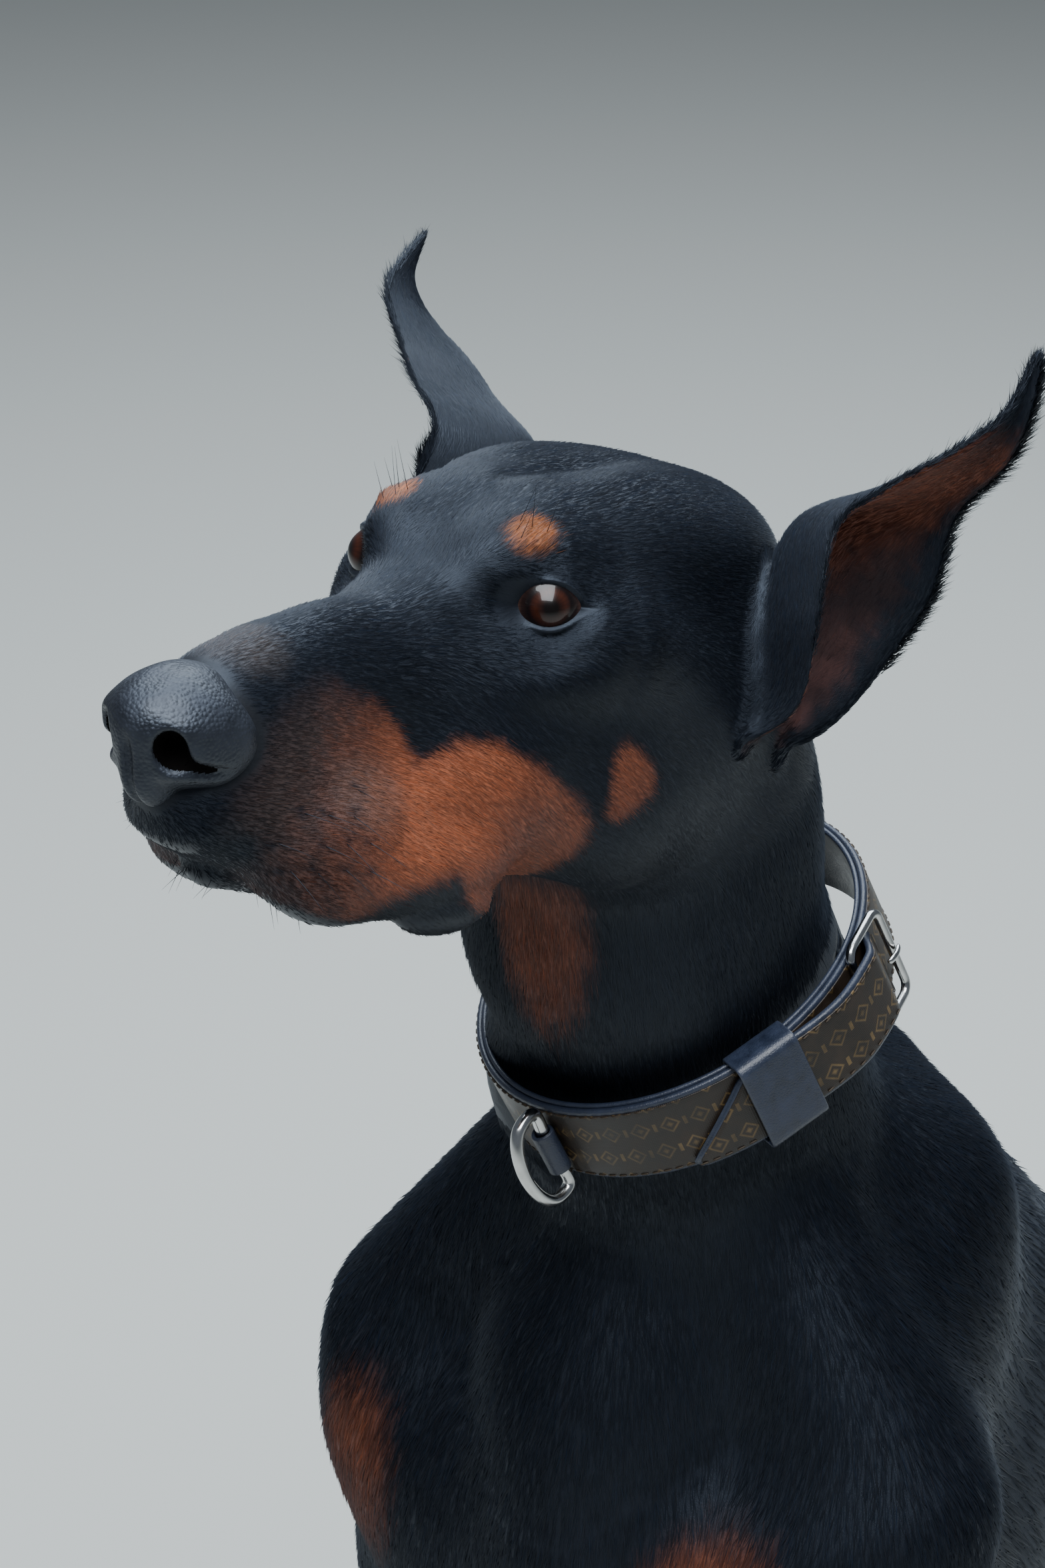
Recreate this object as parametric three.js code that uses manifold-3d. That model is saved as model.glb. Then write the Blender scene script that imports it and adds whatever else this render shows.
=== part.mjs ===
// A sitting doberman pinscher with cropped ears and a docked tail, life size.
// Millimetres, +Z up. The dog faces -Y and its own left side is at +X.
//
// The body is described as masses of bone and muscle that melt into each other.
// Each named piece is a net of points laid on the skin of those masses, and
// neighbouring pieces are parted by thin cuts.

import * as THREE from 'three';
import { LoftGeometry } from 'three/addons/geometries/LoftGeometry.js';
import { mergeVertices } from 'three/addons/utils/BufferGeometryUtils.js';
import Module from 'manifold-3d';

const wasm = await Module();
wasm.setup();

const v3 = (x, y, z) => new THREE.Vector3(x, y, z);
const degrees = THREE.MathUtils.degToRad;

// Driving dimensions

const GAP = 0.3;              // clear air between touching pieces
const EYE_HEIGHT = 922;       // mid-point of the eyes above the floor
const EYE_FORWARD = 155;      // and in front of the elbows' middle
const HEAD_RAISE = 18.8;      // degrees of nose above level
const EYE_SPACING = 78;       // between the pupils
const CHEST_WIDTH = 220;      // across the ribs
const STANCE_WIDTH = 160;     // between the middles of the forepaws

// Frames: the head has its own, with X forward, Y to the dog's left and Z up

const headFrame = (() => {
  const raise = degrees(HEAD_RAISE);
  const forward = v3(0, -Math.cos(raise), Math.sin(raise));
  const left = v3(1, 0, 0);
  const up = forward.clone().cross(left);
  const frame = new THREE.Matrix4().makeBasis(forward, left, up);
  return frame.setPosition(0, -EYE_FORWARD, EYE_HEIGHT);
})();
const headInverse = headFrame.clone().invert();
const bodyFrame = new THREE.Matrix4();
const onHead = (x, y, z) => v3(x, y, z).applyMatrix4(headFrame);

// Masses: each has a distance function, and a width over which it melts into the rest

function ball(centre, radii, blend, turn = [0, 0, 0]) {
  const back = new THREE.Quaternion().setFromEuler(new THREE.Euler(...turn.map(degrees))).invert();
  const middle = v3(...centre);
  const near = v3();
  const far = v3();
  const distance = (point) => {
    near.copy(point).sub(middle).applyQuaternion(back);
    near.set(near.x / radii[0], near.y / radii[1], near.z / radii[2]);
    far.set(near.x / radii[0], near.y / radii[1], near.z / radii[2]);
    const depth = near.length();
    return (depth * (depth - 1)) / Math.max(far.length(), 1e-9);
  };
  return { distance, blend };
}

function limb(start, end, startRadius, endRadius, blend, width = 1) {
  const a = v3(start[0] / width, start[1], start[2]);
  const axis = v3(end[0] / width, end[1], end[2]).sub(a);
  const length = axis.length();
  const slope = (startRadius - endRadius) / length;
  const cosine = Math.sqrt(1 - slope * slope);
  const near = v3();
  axis.normalize();
  const distance = (point) => {
    near.set(point.x / width, point.y, point.z).sub(a);
    const along = near.dot(axis);
    const across = Math.sqrt(Math.max(near.lengthSq() - along * along, 0));
    const foot = along - (across * slope) / cosine;
    const scale = Math.min(width, 1);
    if (foot <= 0) return (near.length() - startRadius) * scale;
    if (foot >= length) {
      return (Math.hypot(along - length, across) - endRadius) * scale;
    }
    return (across * cosine + along * slope - startRadius) * scale;
  };
  return { distance, blend };
}

// The head between muzzle and nape, as stations along its length:
// how far forward, top, bottom, half width above, half width below
const headStations = [
  [131, -46, -72, 9, 11],
  [126, -34, -78, 14, 19],
  [114, -23, -83, 18, 25],
  [98, -17, -88, 21, 30],
  [72, -10, -99, 22, 36],
  [46, -4, -101, 24, 41],
  [26, 6, -99, 30, 43],
  [8, 20, -98, 38, 47],
  [-12, 33, -97, 46, 51],
  [-36, 36, -96, 51, 55],
  [-62, 35, -93, 49, 56],
  [-90, 30, -84, 45, 53],
  [-116, 22, -70, 37, 46],
  [-140, 9, -56, 27, 37],
];
const SQUARENESS = 2.7;

function stationAt(forward) {
  const last = headStations.length - 1;
  let i = 0;
  while (i < last - 1 && forward < headStations[i + 1][0]) i += 1;
  const [from, to] = [headStations[i], headStations[i + 1]];
  const before = headStations[Math.max(i - 1, 0)];
  const after = headStations[Math.min(i + 2, last)];
  const share = THREE.MathUtils.clamp((from[0] - forward) / (from[0] - to[0]), 0, 1);
  return from.map((value, k) => {
    const slopeIn = (to[k] - before[k]) / (before[0] - to[0]);
    const slopeOut = (after[k] - value) / (from[0] - after[0]);
    const span = from[0] - to[0];
    const [s2, s3] = [share * share, share ** 3];
    return (2 * s3 - 3 * s2 + 1) * value + (s3 - 2 * s2 + share) * span * slopeIn
      + (3 * s2 - 2 * s3) * to[k] + (s3 - s2) * span * slopeOut;
  });
}

function wedge(blend) {
  const front = headStations[0][0];
  const rear = headStations[headStations.length - 1][0];
  const distance = (point) => {
    const forward = THREE.MathUtils.clamp(point.x, rear, front);
    const [, top, bottom, above, below] = stationAt(forward);
    const tall = (top - bottom) / 2;
    const level = (point.z - (top + bottom) / 2) / tall;
    const share = THREE.MathUtils.smoothstep(level, -1, 1);
    const wide = THREE.MathUtils.lerp(below, above, share);
    const round = (Math.abs(point.y / wide) ** SQUARENESS + Math.abs(level) ** SQUARENESS)
      ** (1 / SQUARENESS);
    const past = Math.max(point.x - front, rear - point.x, 0);
    return (round - 1) * Math.min(wide, tall) * 0.9 + past;
  };
  return { distance, blend };
}

// A swelling or a hollow of the surface, which fades out with distance
const swell = (centre, reach, height) => ({ centre: v3(...centre), reach: v3(...reach), height });

const sides = [1, -1];
const paired = (make) => sides.flatMap((side) => make(side));

const headMasses = [
  wedge(10),
  ...paired((s) => [
    ball([-40, s * 35, -14], [38, 20, 16], 24, [0, 0, s * 8]),       // cheek bone
    ball([-66, s * 38, -58], [36, 19, 36], 24),                      // chewing muscle
    ball([-1, s * 25, 9], [17, 13, 9.5], 18, [0, 0, s * -25]),       // brow
    ball([66, s * 23, -80], [32, 14, 19], 16),                       // hanging upper lip
    ball([30, s * 33, -85], [30, 10, 12], 12),                       // and its rear
    ball([-78, s * 26, 16], [42, 24, 18], 20),                       // temple
  ]),
];
const headSwells = paired((s) => [
  swell([20, s * 30, -4], [14, 12, 11], -2.5),                       // corner below the brow
  swell([44, s * 32, -42], [26, 14, 16], -3),                        // hollow of the muzzle
  swell([-14, s * 50, 14], [16, 14, 10], -3),                        // behind the brow
]);

const neckMasses = [
  limb([0, -66, 862], [0, -53, 795], 63, 62, 20, 0.95),
  limb([0, -53, 795], [5, -25, 700], 62, 61, 20, 0.92),
  limb([5, -25, 700], [5, -10, 655], 61, 60, 20, 0.9),
  limb([5, -10, 655], [0, 14, 580], 60, 91, 20, 0.92),
  ball([0, -60, 752], [54, 52, 48], 24),                             // throat
];

const torsoMasses = [
  limb([0, 10, 545], [0, 58, 462], 94, 140, 40, 0.79),
  limb([0, 58, 462], [0, 154, 382], 140, 128, 40, CHEST_WIDTH / 276),
  limb([0, 154, 382], [0, 242, 288], 128, 98, 40, 0.86),
  limb([0, 242, 288], [0, 314, 187], 98, 96, 40, 1),
  limb([0, 314, 187], [0, 345, 86], 96, 90, 40, 1.1),
  ball([0, 58, 590], [42, 66, 40], 40, [40, 0, 0]),                  // withers
  ball([0, -46, 520], [50, 70, 84], 40),                             // forechest
  ...paired((s) => [
    limb([s * 45, -27, 630], [s * 103, -38, 534], 32, 42, 16),       // muscle of the neck
    limb([s * 54, 52, 600], [s * 80, -46, 498], 40, 48, 34),         // shoulder blade
    limb([s * 80, -46, 498], [s * 90, -24, 402], 48, 47, 34),        // upper arm
    ball([s * 82, 30, 440], [42, 62, 78], 34),                       // long arm muscle
    ball([s * 42, -66, 466], [42, 44, 66], 34),                      // breast muscle
    ball([s * 58, 318, 168], [62, 80, 84], 40),                      // buttock
  ]),
];

const foreX = STANCE_WIDTH / 2;
const forelegMasses = (s) => [
  limb([s * 90, -26, 420], [s * 89, -8, 348], 46, 35, 20),
  limb([s * 89, -8, 348], [s * 84, -20, 235], 35, 27, 20),
  limb([s * 84, -20, 235], [s * foreX, -28, 132], 26, 19, 16),
  ball([s * foreX, -30, 124], [20.5, 21.5, 24], 12),                 // wrist
  limb([s * foreX, -26, 124], [s * foreX, -40, 60], 18.5, 18.5, 12),
];
const thighMasses = (s) => [
  limb([s * 84, 300, 190], [s * 124, 118, 178], 82, 52, 20),
  ball([s * 104, 220, 150], [52, 110, 84], 20),
  ball([s * 128, 96, 178], [34, 36, 42], 16),                        // knee
];
const shankMasses = (s) => [
  limb([s * 130, 100, 150], [s * 122, 230, 80], 44, 34, 16),
  limb([s * 122, 230, 80], [s * 118, 318, 44], 32, 20, 16),
  ball([s * 118, 330, 42], [19, 24, 24], 10),                        // hock
];
const tailMasses = [limb([0, 380, 150], [0, 462, 138], 24, 12, 12)];

const metatarsusMasses = (s) => [
  ball([s * 118, 322, 34], [20, 26, 32], 10),
  limb([s * 118, 316, 26], [s * 124, 150, 22], 22, 19, 10, 1.1),
];

// A paw: one arched body, four toes side by side, and their pads on the floor
const TOES = [
  { across: -24, reach: 0, size: 12 },
  { across: -9, reach: 14, size: 13.5 },
  { across: 9, reach: 14, size: 13.5 },
  { across: 24, reach: 0, size: 12 },
];
const pawMasses = (x, y, spread) => [
  ball([x, y + 6, 24], [26 * spread, 34, 24], 8),
  ...TOES.map(({ across, reach, size }) => (
    limb([x + across * 0.72, y - 6, 24], [x + across, y - 32 - reach, 11], size, size - 1, 5)
  )),
];

// Skins: the masses of one or more regions melted together, above the floor

const region = (inverse, masses, swells = []) => ({ inverse, masses, swells });
const head = region(headInverse, headMasses, headSwells);
const body = (...lists) => region(bodyFrame, lists.flat());

function melt(a, b, blend) {
  const share = Math.max(blend - Math.abs(a - b), 0) / blend;
  return Math.min(a, b) - (share * share * blend) / 4;
}

function skin(...regions) {
  const local = v3();
  const offset = v3();
  return (point) => {
    let depth = Infinity;
    for (const { inverse, masses, swells } of regions) {
      local.copy(point).applyMatrix4(inverse);
      for (const mass of masses) {
        const distance = mass.distance(local);
        depth = depth === Infinity ? distance : melt(depth, distance, mass.blend);
      }
      for (const { centre, reach, height } of swells) {
        offset.copy(local).sub(centre).divide(reach);
        depth -= height * Math.exp(-offset.lengthSq());
      }
    }
    return Math.max(depth, -point.z);
  };
}

// A net of points laid on a skin: hoops along a spine, each point found by
// walking outwards from the hoop's middle. A hoop's tilt turns its rays back
// (-90) or ahead (90) along the spine, which rounds off an end.

const STRIDE = 5;
const HALVINGS = 16;

function reachSkin(from, towards, distance, level) {
  const probe = v3();
  const outside = (length) => distance(probe.copy(towards).multiplyScalar(length).add(from)) > level;
  let inner = 0;
  let outer = STRIDE;
  while (!outside(outer) && outer < 400) {
    inner = outer;
    outer += STRIDE;
  }
  for (let i = 0; i < HALVINGS; i += 1) {
    const middle = (inner + outer) / 2;
    if (outside(middle)) outer = middle;
    else inner = middle;
  }
  return towards.clone().multiplyScalar(inner).add(from);
}

function spine(keys, hoops, { roundStart = 0, roundEnd = 0 } = {}) {
  const path = new THREE.CatmullRomCurve3(keys.map((key) => key.at));
  const list = [];
  for (let i = 0; i < roundStart; i += 1) {
    list.push({ at: keys[0].at, along: keys[0].along, tilt: -90 + (90 * i) / roundStart });
  }
  for (let i = 0; i < hoops; i += 1) {
    const place = (i / (hoops - 1)) * (keys.length - 1);
    const k = Math.min(Math.floor(place), keys.length - 2);
    const along = keys[k].along.clone().lerp(keys[k + 1].along, place - k).normalize();
    list.push({ at: path.getPoint(i / (hoops - 1)), along, tilt: 0 });
  }
  const last = keys[keys.length - 1];
  for (let i = 1; i <= roundEnd; i += 1) {
    list.push({ at: last.at, along: last.along, tilt: (90 * i) / roundEnd });
  }
  return list;
}

function wrap(hoops, around, left, distance, level = 0) {
  const rings = hoops.map(({ at, along, tilt }) => {
    const side = left.clone().addScaledVector(along, -left.dot(along)).normalize();
    const over = along.clone().cross(side);
    const [flat, ahead] = [Math.cos(degrees(tilt)), Math.sin(degrees(tilt))];
    return Array.from({ length: around }, (_, i) => {
      const angle = (2 * Math.PI * i) / around;
      const ray = v3()
        .addScaledVector(side, flat * Math.cos(angle))
        .addScaledVector(over, flat * Math.sin(angle))
        .addScaledVector(along, ahead)
        .normalize();
      return reachSkin(at, ray, distance, level);
    });
  });
  const points = [];
  const faces = [];
  const add = (point) => points.push(point) - 1;
  const apart = (a, b) => points[a].distanceTo(points[b]);
  // A patch of four is split along its shorter diagonal
  const patch = (a, b, c, d) => {
    if (apart(a, c) < apart(b, d)) faces.push(a, b, c, a, c, d);
    else faces.push(a, b, d, b, c, d);
  };
  const isPole = (hoop) => Math.abs(hoop.tilt) > 89.9;
  const rows = hoops.map((hoop, i) => (isPole(hoop) ? null : rings[i].map(add)));
  const first = add(isPole(hoops[0]) ? rings[0][0] : hoops[0].at);
  const final = add(isPole(hoops.at(-1)) ? rings.at(-1)[0] : hoops.at(-1).at);
  const full = rows.filter(Boolean);
  for (let j = 0; j < around; j += 1) {
    const next = (j + 1) % around;
    faces.push(first, full[0][next], full[0][j]);
    faces.push(final, full.at(-1)[j], full.at(-1)[next]);
    for (let i = 0; i < full.length - 1; i += 1) {
      patch(full[i][j], full[i][next], full[i + 1][next], full[i + 1][j]);
    }
  }
  const geometry = new THREE.BufferGeometry().setFromPoints(points);
  geometry.setIndex(faces);
  return geometry;
}

// Joining and cutting of closed solids

function solid(geometry, matrix) {
  const bare = new THREE.BufferGeometry().copy(geometry);
  bare.deleteAttribute('normal');
  bare.deleteAttribute('uv');
  if (matrix) bare.applyMatrix4(matrix);
  const merged = mergeVertices(bare, 1e-4);
  const indices = merged.index.array;
  const triVerts = new Uint32Array(indices);
  if (matrix && matrix.determinant() < 0) triVerts.reverse();
  const vertProperties = new Float32Array(merged.attributes.position.array);
  return new wasm.Manifold(new wasm.Mesh({ numProp: 3, vertProperties, triVerts }));
}

function largest(shape) {
  const pieces = shape.decompose();
  return pieces.reduce((best, piece) => (piece.volume() > best.volume() ? piece : best));
}

function surface(shape) {
  const { vertProperties, triVerts } = largest(shape).getMesh();
  const geometry = new THREE.BufferGeometry();
  geometry.setAttribute('position', new THREE.Float32BufferAttribute(vertProperties, 3));
  geometry.setIndex(Array.from(triVerts));
  return geometry;
}

// What rests on the floor is pressed flat there
const FLOOR_PRESS = 2.5;
const pressed = (shape) => shape.trimByPlane([0, 0, 1], FLOOR_PRESS);
const cutAll = (shape, tools) => tools.reduce((rest, tool) => rest.subtract(tool), shape);
const joinAll = (shapes) => shapes.reduce((whole, shape) => whole.add(shape));

// Hides: colours of the coat and the finishes of what is bare or worn

const materials = {
  black_coat: new THREE.MeshStandardMaterial({ color: 0x15161a, roughness: 0.55 }),
  rust_coat: new THREE.MeshStandardMaterial({ color: 0x7a4128, roughness: 0.6 }),
  nose_leather: new THREE.MeshStandardMaterial({ color: 0x16181c, roughness: 0.35 }),
  eye: new THREE.MeshStandardMaterial({ color: 0x2c1410, roughness: 0.08 }),
  canvas: new THREE.MeshStandardMaterial({ color: 0x4a3b2a, roughness: 0.5 }),
  strap_leather: new THREE.MeshStandardMaterial({ color: 0x1d2430, roughness: 0.4 }),
  steel: new THREE.MeshStandardMaterial({ color: 0xc8c8c4, roughness: 0.25, metalness: 1 }),
};

const dog = new THREE.Group();
const place = (name, geometry, material) => {
  geometry.computeVertexNormals();
  const mesh = new THREE.Mesh(geometry, materials[material]);
  mesh.name = name;
  dog.add(mesh);
  return mesh;
};

const bodyLeft = v3(1, 0, 0);
const headLeft = v3(0, 1, 0).transformDirection(headFrame);
const headKey = (x, z, along) => ({ at: onHead(x, 0, z), along: v3(...along).transformDirection(headFrame) });
const bodyKey = (at, along) => ({ at: v3(...at), along: v3(...along).normalize() });

// Neck cuts: behind the jaw and ears, and in front of the shoulders

const NAPE_CUT = [-90, -35];
const NAPE_FACING = [-0.82, 0, -0.575];
const napeAlong = v3(...NAPE_FACING).normalize();
const SHOULDER_CUT = v3(0, -18, 612);
const SHOULDER_FACING = v3(0, 0.55, -0.84).normalize();

const forwards = [-1, 0, 0];
const headSkin = skin(head, body(neckMasses));
const headHoops = spine([
  headKey(104, -55, forwards),
  headKey(60, -52, forwards),
  headKey(10, -42, forwards),
  headKey(-40, -28, forwards),
  headKey(NAPE_CUT[0] + napeAlong.x * -GAP / 2, NAPE_CUT[1] + napeAlong.z * -GAP / 2, NAPE_FACING),
], 30, { roundStart: 5 });

// Eyes: balls set in sockets behind an almond opening, with a rim of lid

const EYE_RADIUS = 11.5;
const LID_PLANE = 38;         // degrees that the opening faces outwards
const LID_SLANT = 6;          // rise of its outer corner
const OPENING = [22, 13];     // corner to corner, and lid to lid
const LID_THICKNESS = 4.4;

const eyeCentre = (s) => [-4, s * (EYE_SPACING / 2 - 8), -1];

// The frame of an eye: X outwards through the pupil, Y to its outer corner, Z up
function eyeFrame(s) {
  const turn = degrees(LID_PLANE * s);
  const out = v3(Math.cos(turn), Math.sin(turn), 0);
  const slant = degrees(LID_SLANT);
  const corner = v3(-Math.sin(turn) * s, Math.cos(turn) * s, 0).multiplyScalar(Math.cos(slant));
  corner.z = Math.sin(slant);
  const over = out.clone().cross(corner).multiplyScalar(s);
  const frame = new THREE.Matrix4().makeBasis(out, corner, over);
  return headFrame.clone().multiply(frame.setPosition(...eyeCentre(s)));
}

function ellipsoid(centre, radii, turn = [0, 0, 0], frame = headFrame, segments = 16) {
  const shape = new THREE.SphereGeometry(1, segments, Math.ceil(segments * 0.6));
  shape.scale(...radii);
  const rotation = new THREE.Matrix4().makeRotationFromEuler(new THREE.Euler(...turn.map(degrees)));
  shape.applyMatrix4(rotation);
  return solid(shape.translate(...centre), frame);
}

const eyeball = (s) => ellipsoid([0, 0, 0], Array(3).fill(EYE_RADIUS), [0, 0, 0], eyeFrame(s), 16);
const socket = (s) => ellipsoid([0, 0, 0], Array(3).fill(EYE_RADIUS + GAP), [0, 0, 0], eyeFrame(s), 16);
const almond = (s) => (
  ellipsoid([EYE_RADIUS, 0, 0], [13, OPENING[0] / 2, OPENING[1] / 2], [0, 0, 0], eyeFrame(s), 18)
);

// A lid follows an arc over the ball from the tear corner to the outer corner
function lid(s, rise) {
  const arc = Array.from({ length: 9 }, (_, i) => {
    const share = i / 8;
    const across = (share - 0.5) * OPENING[0];
    const lift = Math.sin(Math.PI * share) * rise;
    const over = EYE_RADIUS + 1.2;
    return v3(Math.sqrt(Math.max(over * over - across * across - lift * lift, 0)), across, lift);
  });
  const profile = new THREE.Shape().absarc(0, 0, LID_THICKNESS / 2, 0, 2 * Math.PI);
  return solid(new THREE.ExtrudeGeometry(profile, {
    extrudePath: new THREE.CatmullRomCurve3(arc), steps: 10, curveSegments: 4, bevelEnabled: false,
  }), eyeFrame(s));
}

// Nose leather with its two comma-shaped nostrils

const noseMasses = [
  ball([132, 0, -40.5], [18, 17, 14], 6),
  ball([132, 0, -52], [14, 9, 14], 6),
  ...paired((s) => [ball([126, s * 12, -44], [17, 9.5, 13], 6, [0, 0, s * -14])]),
];
const noseSkin = skin(region(headInverse, noseMasses));
const noseHoops = spine([
  headKey(118, -42, [1, 0, 0]),
  headKey(136, -42, [1, 0, 0]),
], 5, { roundStart: 4, roundEnd: 7 });
const nostrils = paired((s) => [
  ellipsoid([147, s * 9.5, -45], [12, 4.6, 5.2], [0, 0, s * 18], headFrame, 12),
  ellipsoid([138, s * 16, -49], [12, 6, 2.4], [0, 0, s * 40], headFrame, 12),
]);
const noseSolid = cutAll(solid(wrap(noseHoops, 16, headLeft, noseSkin)), nostrils);
const noseRoom = solid(wrap(noseHoops, 16, headLeft, noseSkin, GAP));

const lidSolids = paired((s) => [lid(s, OPENING[1] / 2), lid(s, -OPENING[1] / 2)]);
const eyeRoom = paired((s) => [socket(s), almond(s)]);
const HEAD_SIDES = 32;
const headWhole = solid(wrap(headHoops, HEAD_SIDES, headLeft, headSkin));
const headSolid = cutAll(joinAll([headWhole, ...lidSolids]), [...eyeRoom, noseRoom]);
const headRoom = solid(wrap(headHoops, HEAD_SIDES, headLeft, headSkin, GAP));

place('head', surface(headSolid), 'black_coat');
place('nose', surface(noseSolid), 'nose_leather');
place('eye_left', surface(eyeball(1)), 'eye');
place('eye_right', surface(eyeball(-1)), 'eye');

// The lower jaw, tucked up between the hanging lips

const jawMasses = [
  limb([99, 0, -83], [10, 0, -82], 11, 22, 8),
  ball([22, 0, -91], [40, 42, 13.5], 8),
  ...paired((s) => [ball([26, s * 34, -96], [24, 9, 9], 6)]),        // fold of the lower lip
];
const jawSkin = skin(region(headInverse, jawMasses));
const jawHoops = spine([
  headKey(96, -86, forwards),
  headKey(-4, -90, forwards),
], 9, { roundStart: 3 });
place('lower_jaw', surface(solid(wrap(jawHoops, 18, headLeft, jawSkin)).subtract(headRoom)), 'black_coat');

// Neck

const bodyMassesAll = [...neckMasses, ...torsoMasses];
const neckSkin = skin(head, body(neckMasses, torsoMasses));
const napePoint = onHead(NAPE_CUT[0] + napeAlong.x * GAP / 2, 0, NAPE_CUT[1] + napeAlong.z * GAP / 2);
const neckHoops = spine([
  { at: napePoint, along: napeAlong.clone().transformDirection(headFrame) },
  bodyKey([0, -55, 800], [0, 0.3, -0.95]),
  bodyKey([0, -25, 700], [0, 0.36, -0.93]),
  { at: SHOULDER_CUT.clone().addScaledVector(SHOULDER_FACING, -GAP / 2), along: SHOULDER_FACING },
], 14);
const neckNet = (level) => wrap(neckHoops, 30, bodyLeft, neckSkin, level);
const neckRoom = solid(neckNet(GAP));
place('neck', neckNet(0), 'black_coat');

// Cropped ears: leaf-shaped cups, as stations from the root to the tip.
// Each has its front edge, its rear edge, how deep the cup is and how it leans.

const EAR_THICKNESS = 4;
const EAR_ARC = 9;            // points across a station
const earStations = [
  { front: [-88, 48, -52], rear: [-112, 50, -57], depth: 8, bulge: [-0.6, -0.8, 0] },
  { front: [-84, 80, -27], rear: [-127, 72, -36], depth: 32, bulge: [-0.2, -0.98, 0] },
  { front: [-79, 85, 4], rear: [-136, 86, -5], depth: 36, bulge: [-0.15, -0.98, 0.05] },
  { front: [-83, 82, 34], rear: [-136, 94, 16], depth: 31, bulge: [-0.3, -0.95, 0.05] },
  { front: [-90, 93, 50], rear: [-133, 98, 41], depth: 19, bulge: [-0.8, -0.6, 0.05] },
  { front: [-102, 108, 66], rear: [-128, 114, 62], depth: 9, bulge: [-0.85, -0.5, 0.1] },
  { front: [-110, 118, 80], rear: [-123, 121, 80], depth: 5, bulge: [-0.85, -0.5, 0.2] },
  { front: [-117, 121, 99], rear: [-119.5, 122.5, 99.5], depth: 2, bulge: [-0.6, -0.55, 0.55] },
];
const EAR_STEPS = 2;          // rings from one station to the next
const EAR_EASE = 1.5;         // the front wall goes straight in before it turns back

// A station's outline: out along the back of the cup, and home along its inside
function earLoop(front, rear, depth, bulge) {
  const chord = rear.clone().sub(front);
  const facing = chord.clone().cross(bulge);
  const wall = Math.min(EAR_THICKNESS, chord.length() * 0.15);
  const shares = Array.from({ length: EAR_ARC }, (_, i) => i / (EAR_ARC - 1));
  const outer = shares.map((share) => (
    front.clone().addScaledVector(chord, share ** EAR_EASE)
      .addScaledVector(bulge, depth * Math.sin(Math.PI * share) ** 0.8)
  ));
  const inner = shares.slice(1, -1).map((share, k) => {
    const inwards = outer[k + 2].clone().sub(outer[k]).cross(facing).normalize();
    return outer[k + 1].clone().addScaledVector(inwards, wall);
  });
  return [...outer, ...inner.reverse()];
}

// The right ear is pricked more to the front, stands straighter and is the deeper cup
const RIGHT_EAR = {
  root: v3(-100, -50, 0), from: -20, turns: [24, 5], ahead: 5, lean: 4, hook: 16, curl: 6,
  deeper: 1.25, wider: [1.1, 1.5],
};

function prick(loop) {
  const { root, from, turns, ahead, lean, hook, curl, deeper, wider } = RIGHT_EAR;
  const rim = loop[0].clone();
  const middle = (rim.z + loop[EAR_ARC - 1].z) / 2;
  const height = Math.max(middle - from, 0) / 100;
  const upTo = (low, high) => THREE.MathUtils.smoothstep(height, low, high);
  const turn = THREE.MathUtils.lerp(...turns, upTo(0.4, 0.8));
  const wide = THREE.MathUtils.lerp(...wider, upTo(0.5, 0.9));
  loop.forEach((point) => {
    point.x = rim.x + (point.x - rim.x) * wide;
    point.y = rim.y + (point.y - rim.y) * deeper;
    point.sub(root).applyAxisAngle(v3(0, 0, 1), degrees(turn)).add(root);
    point.x += ahead * upTo(0.5, 0.75) - hook * upTo(0.95, 1.3);
    point.y += lean * upTo(0, 0.4) * (1 - upTo(0.6, 0.9));
    point.z -= curl * height ** 2;
  });
}

function ear(s) {
  const along = (pick) => new THREE.CatmullRomCurve3(earStations.map((station) => v3(...pick(station))));
  const front = along((station) => station.front);
  const rear = along((station) => station.rear);
  const bulge = along((station) => station.bulge);
  const depth = along((station) => [station.depth, 0, 0]);
  const count = (earStations.length - 1) * EAR_STEPS;
  const loops = Array.from({ length: count + 1 }, (_, i) => {
    const at = i / count;
    const loop = earLoop(
      front.getPoint(at), rear.getPoint(at), depth.getPoint(at).x, bulge.getPoint(at).normalize(),
    );
    return loop.map((point) => v3(point.x, point.y * s, point.z));
  });
  if (s < 0) loops.forEach(prick);
  if (s > 0) loops.forEach((loop) => loop.reverse());
  return solid(new LoftGeometry(loops, { closed: true, capStart: true, capEnd: true }), headFrame);
}
place('ear_left', surface(cutAll(ear(1), [headRoom, neckRoom])), 'black_coat');
place('ear_right', surface(cutAll(ear(-1), [headRoom, neckRoom])), 'black_coat');

// Torso

const torsoSkin = skin(body(bodyMassesAll));
const torsoHoops = spine([
  { at: SHOULDER_CUT.clone().addScaledVector(SHOULDER_FACING, GAP / 2), along: SHOULDER_FACING },
  bodyKey([0, 20, 535], [0, 0.5, -0.87]),
  bodyKey([0, 62, 452], [0, 0.55, -0.84]),
  bodyKey([0, 150, 368], [0, 0.72, -0.7]),
  bodyKey([0, 235, 285], [0, 0.62, -0.78]),
  bodyKey([0, 300, 190], [0, 0.4, -0.92]),
  bodyKey([0, 330, 100], [0, 0.15, -0.99]),
], 23, { roundEnd: 5 });
const torsoNet = (level) => wrap(torsoHoops, 33, bodyLeft, torsoSkin, level);
const torsoRoom = solid(torsoNet(GAP));
place('torso', surface(pressed(solid(torsoNet(0)))), 'black_coat');

// Limbs: each is wrapped whole, with its root sunk in what carries it, and cut there

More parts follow.
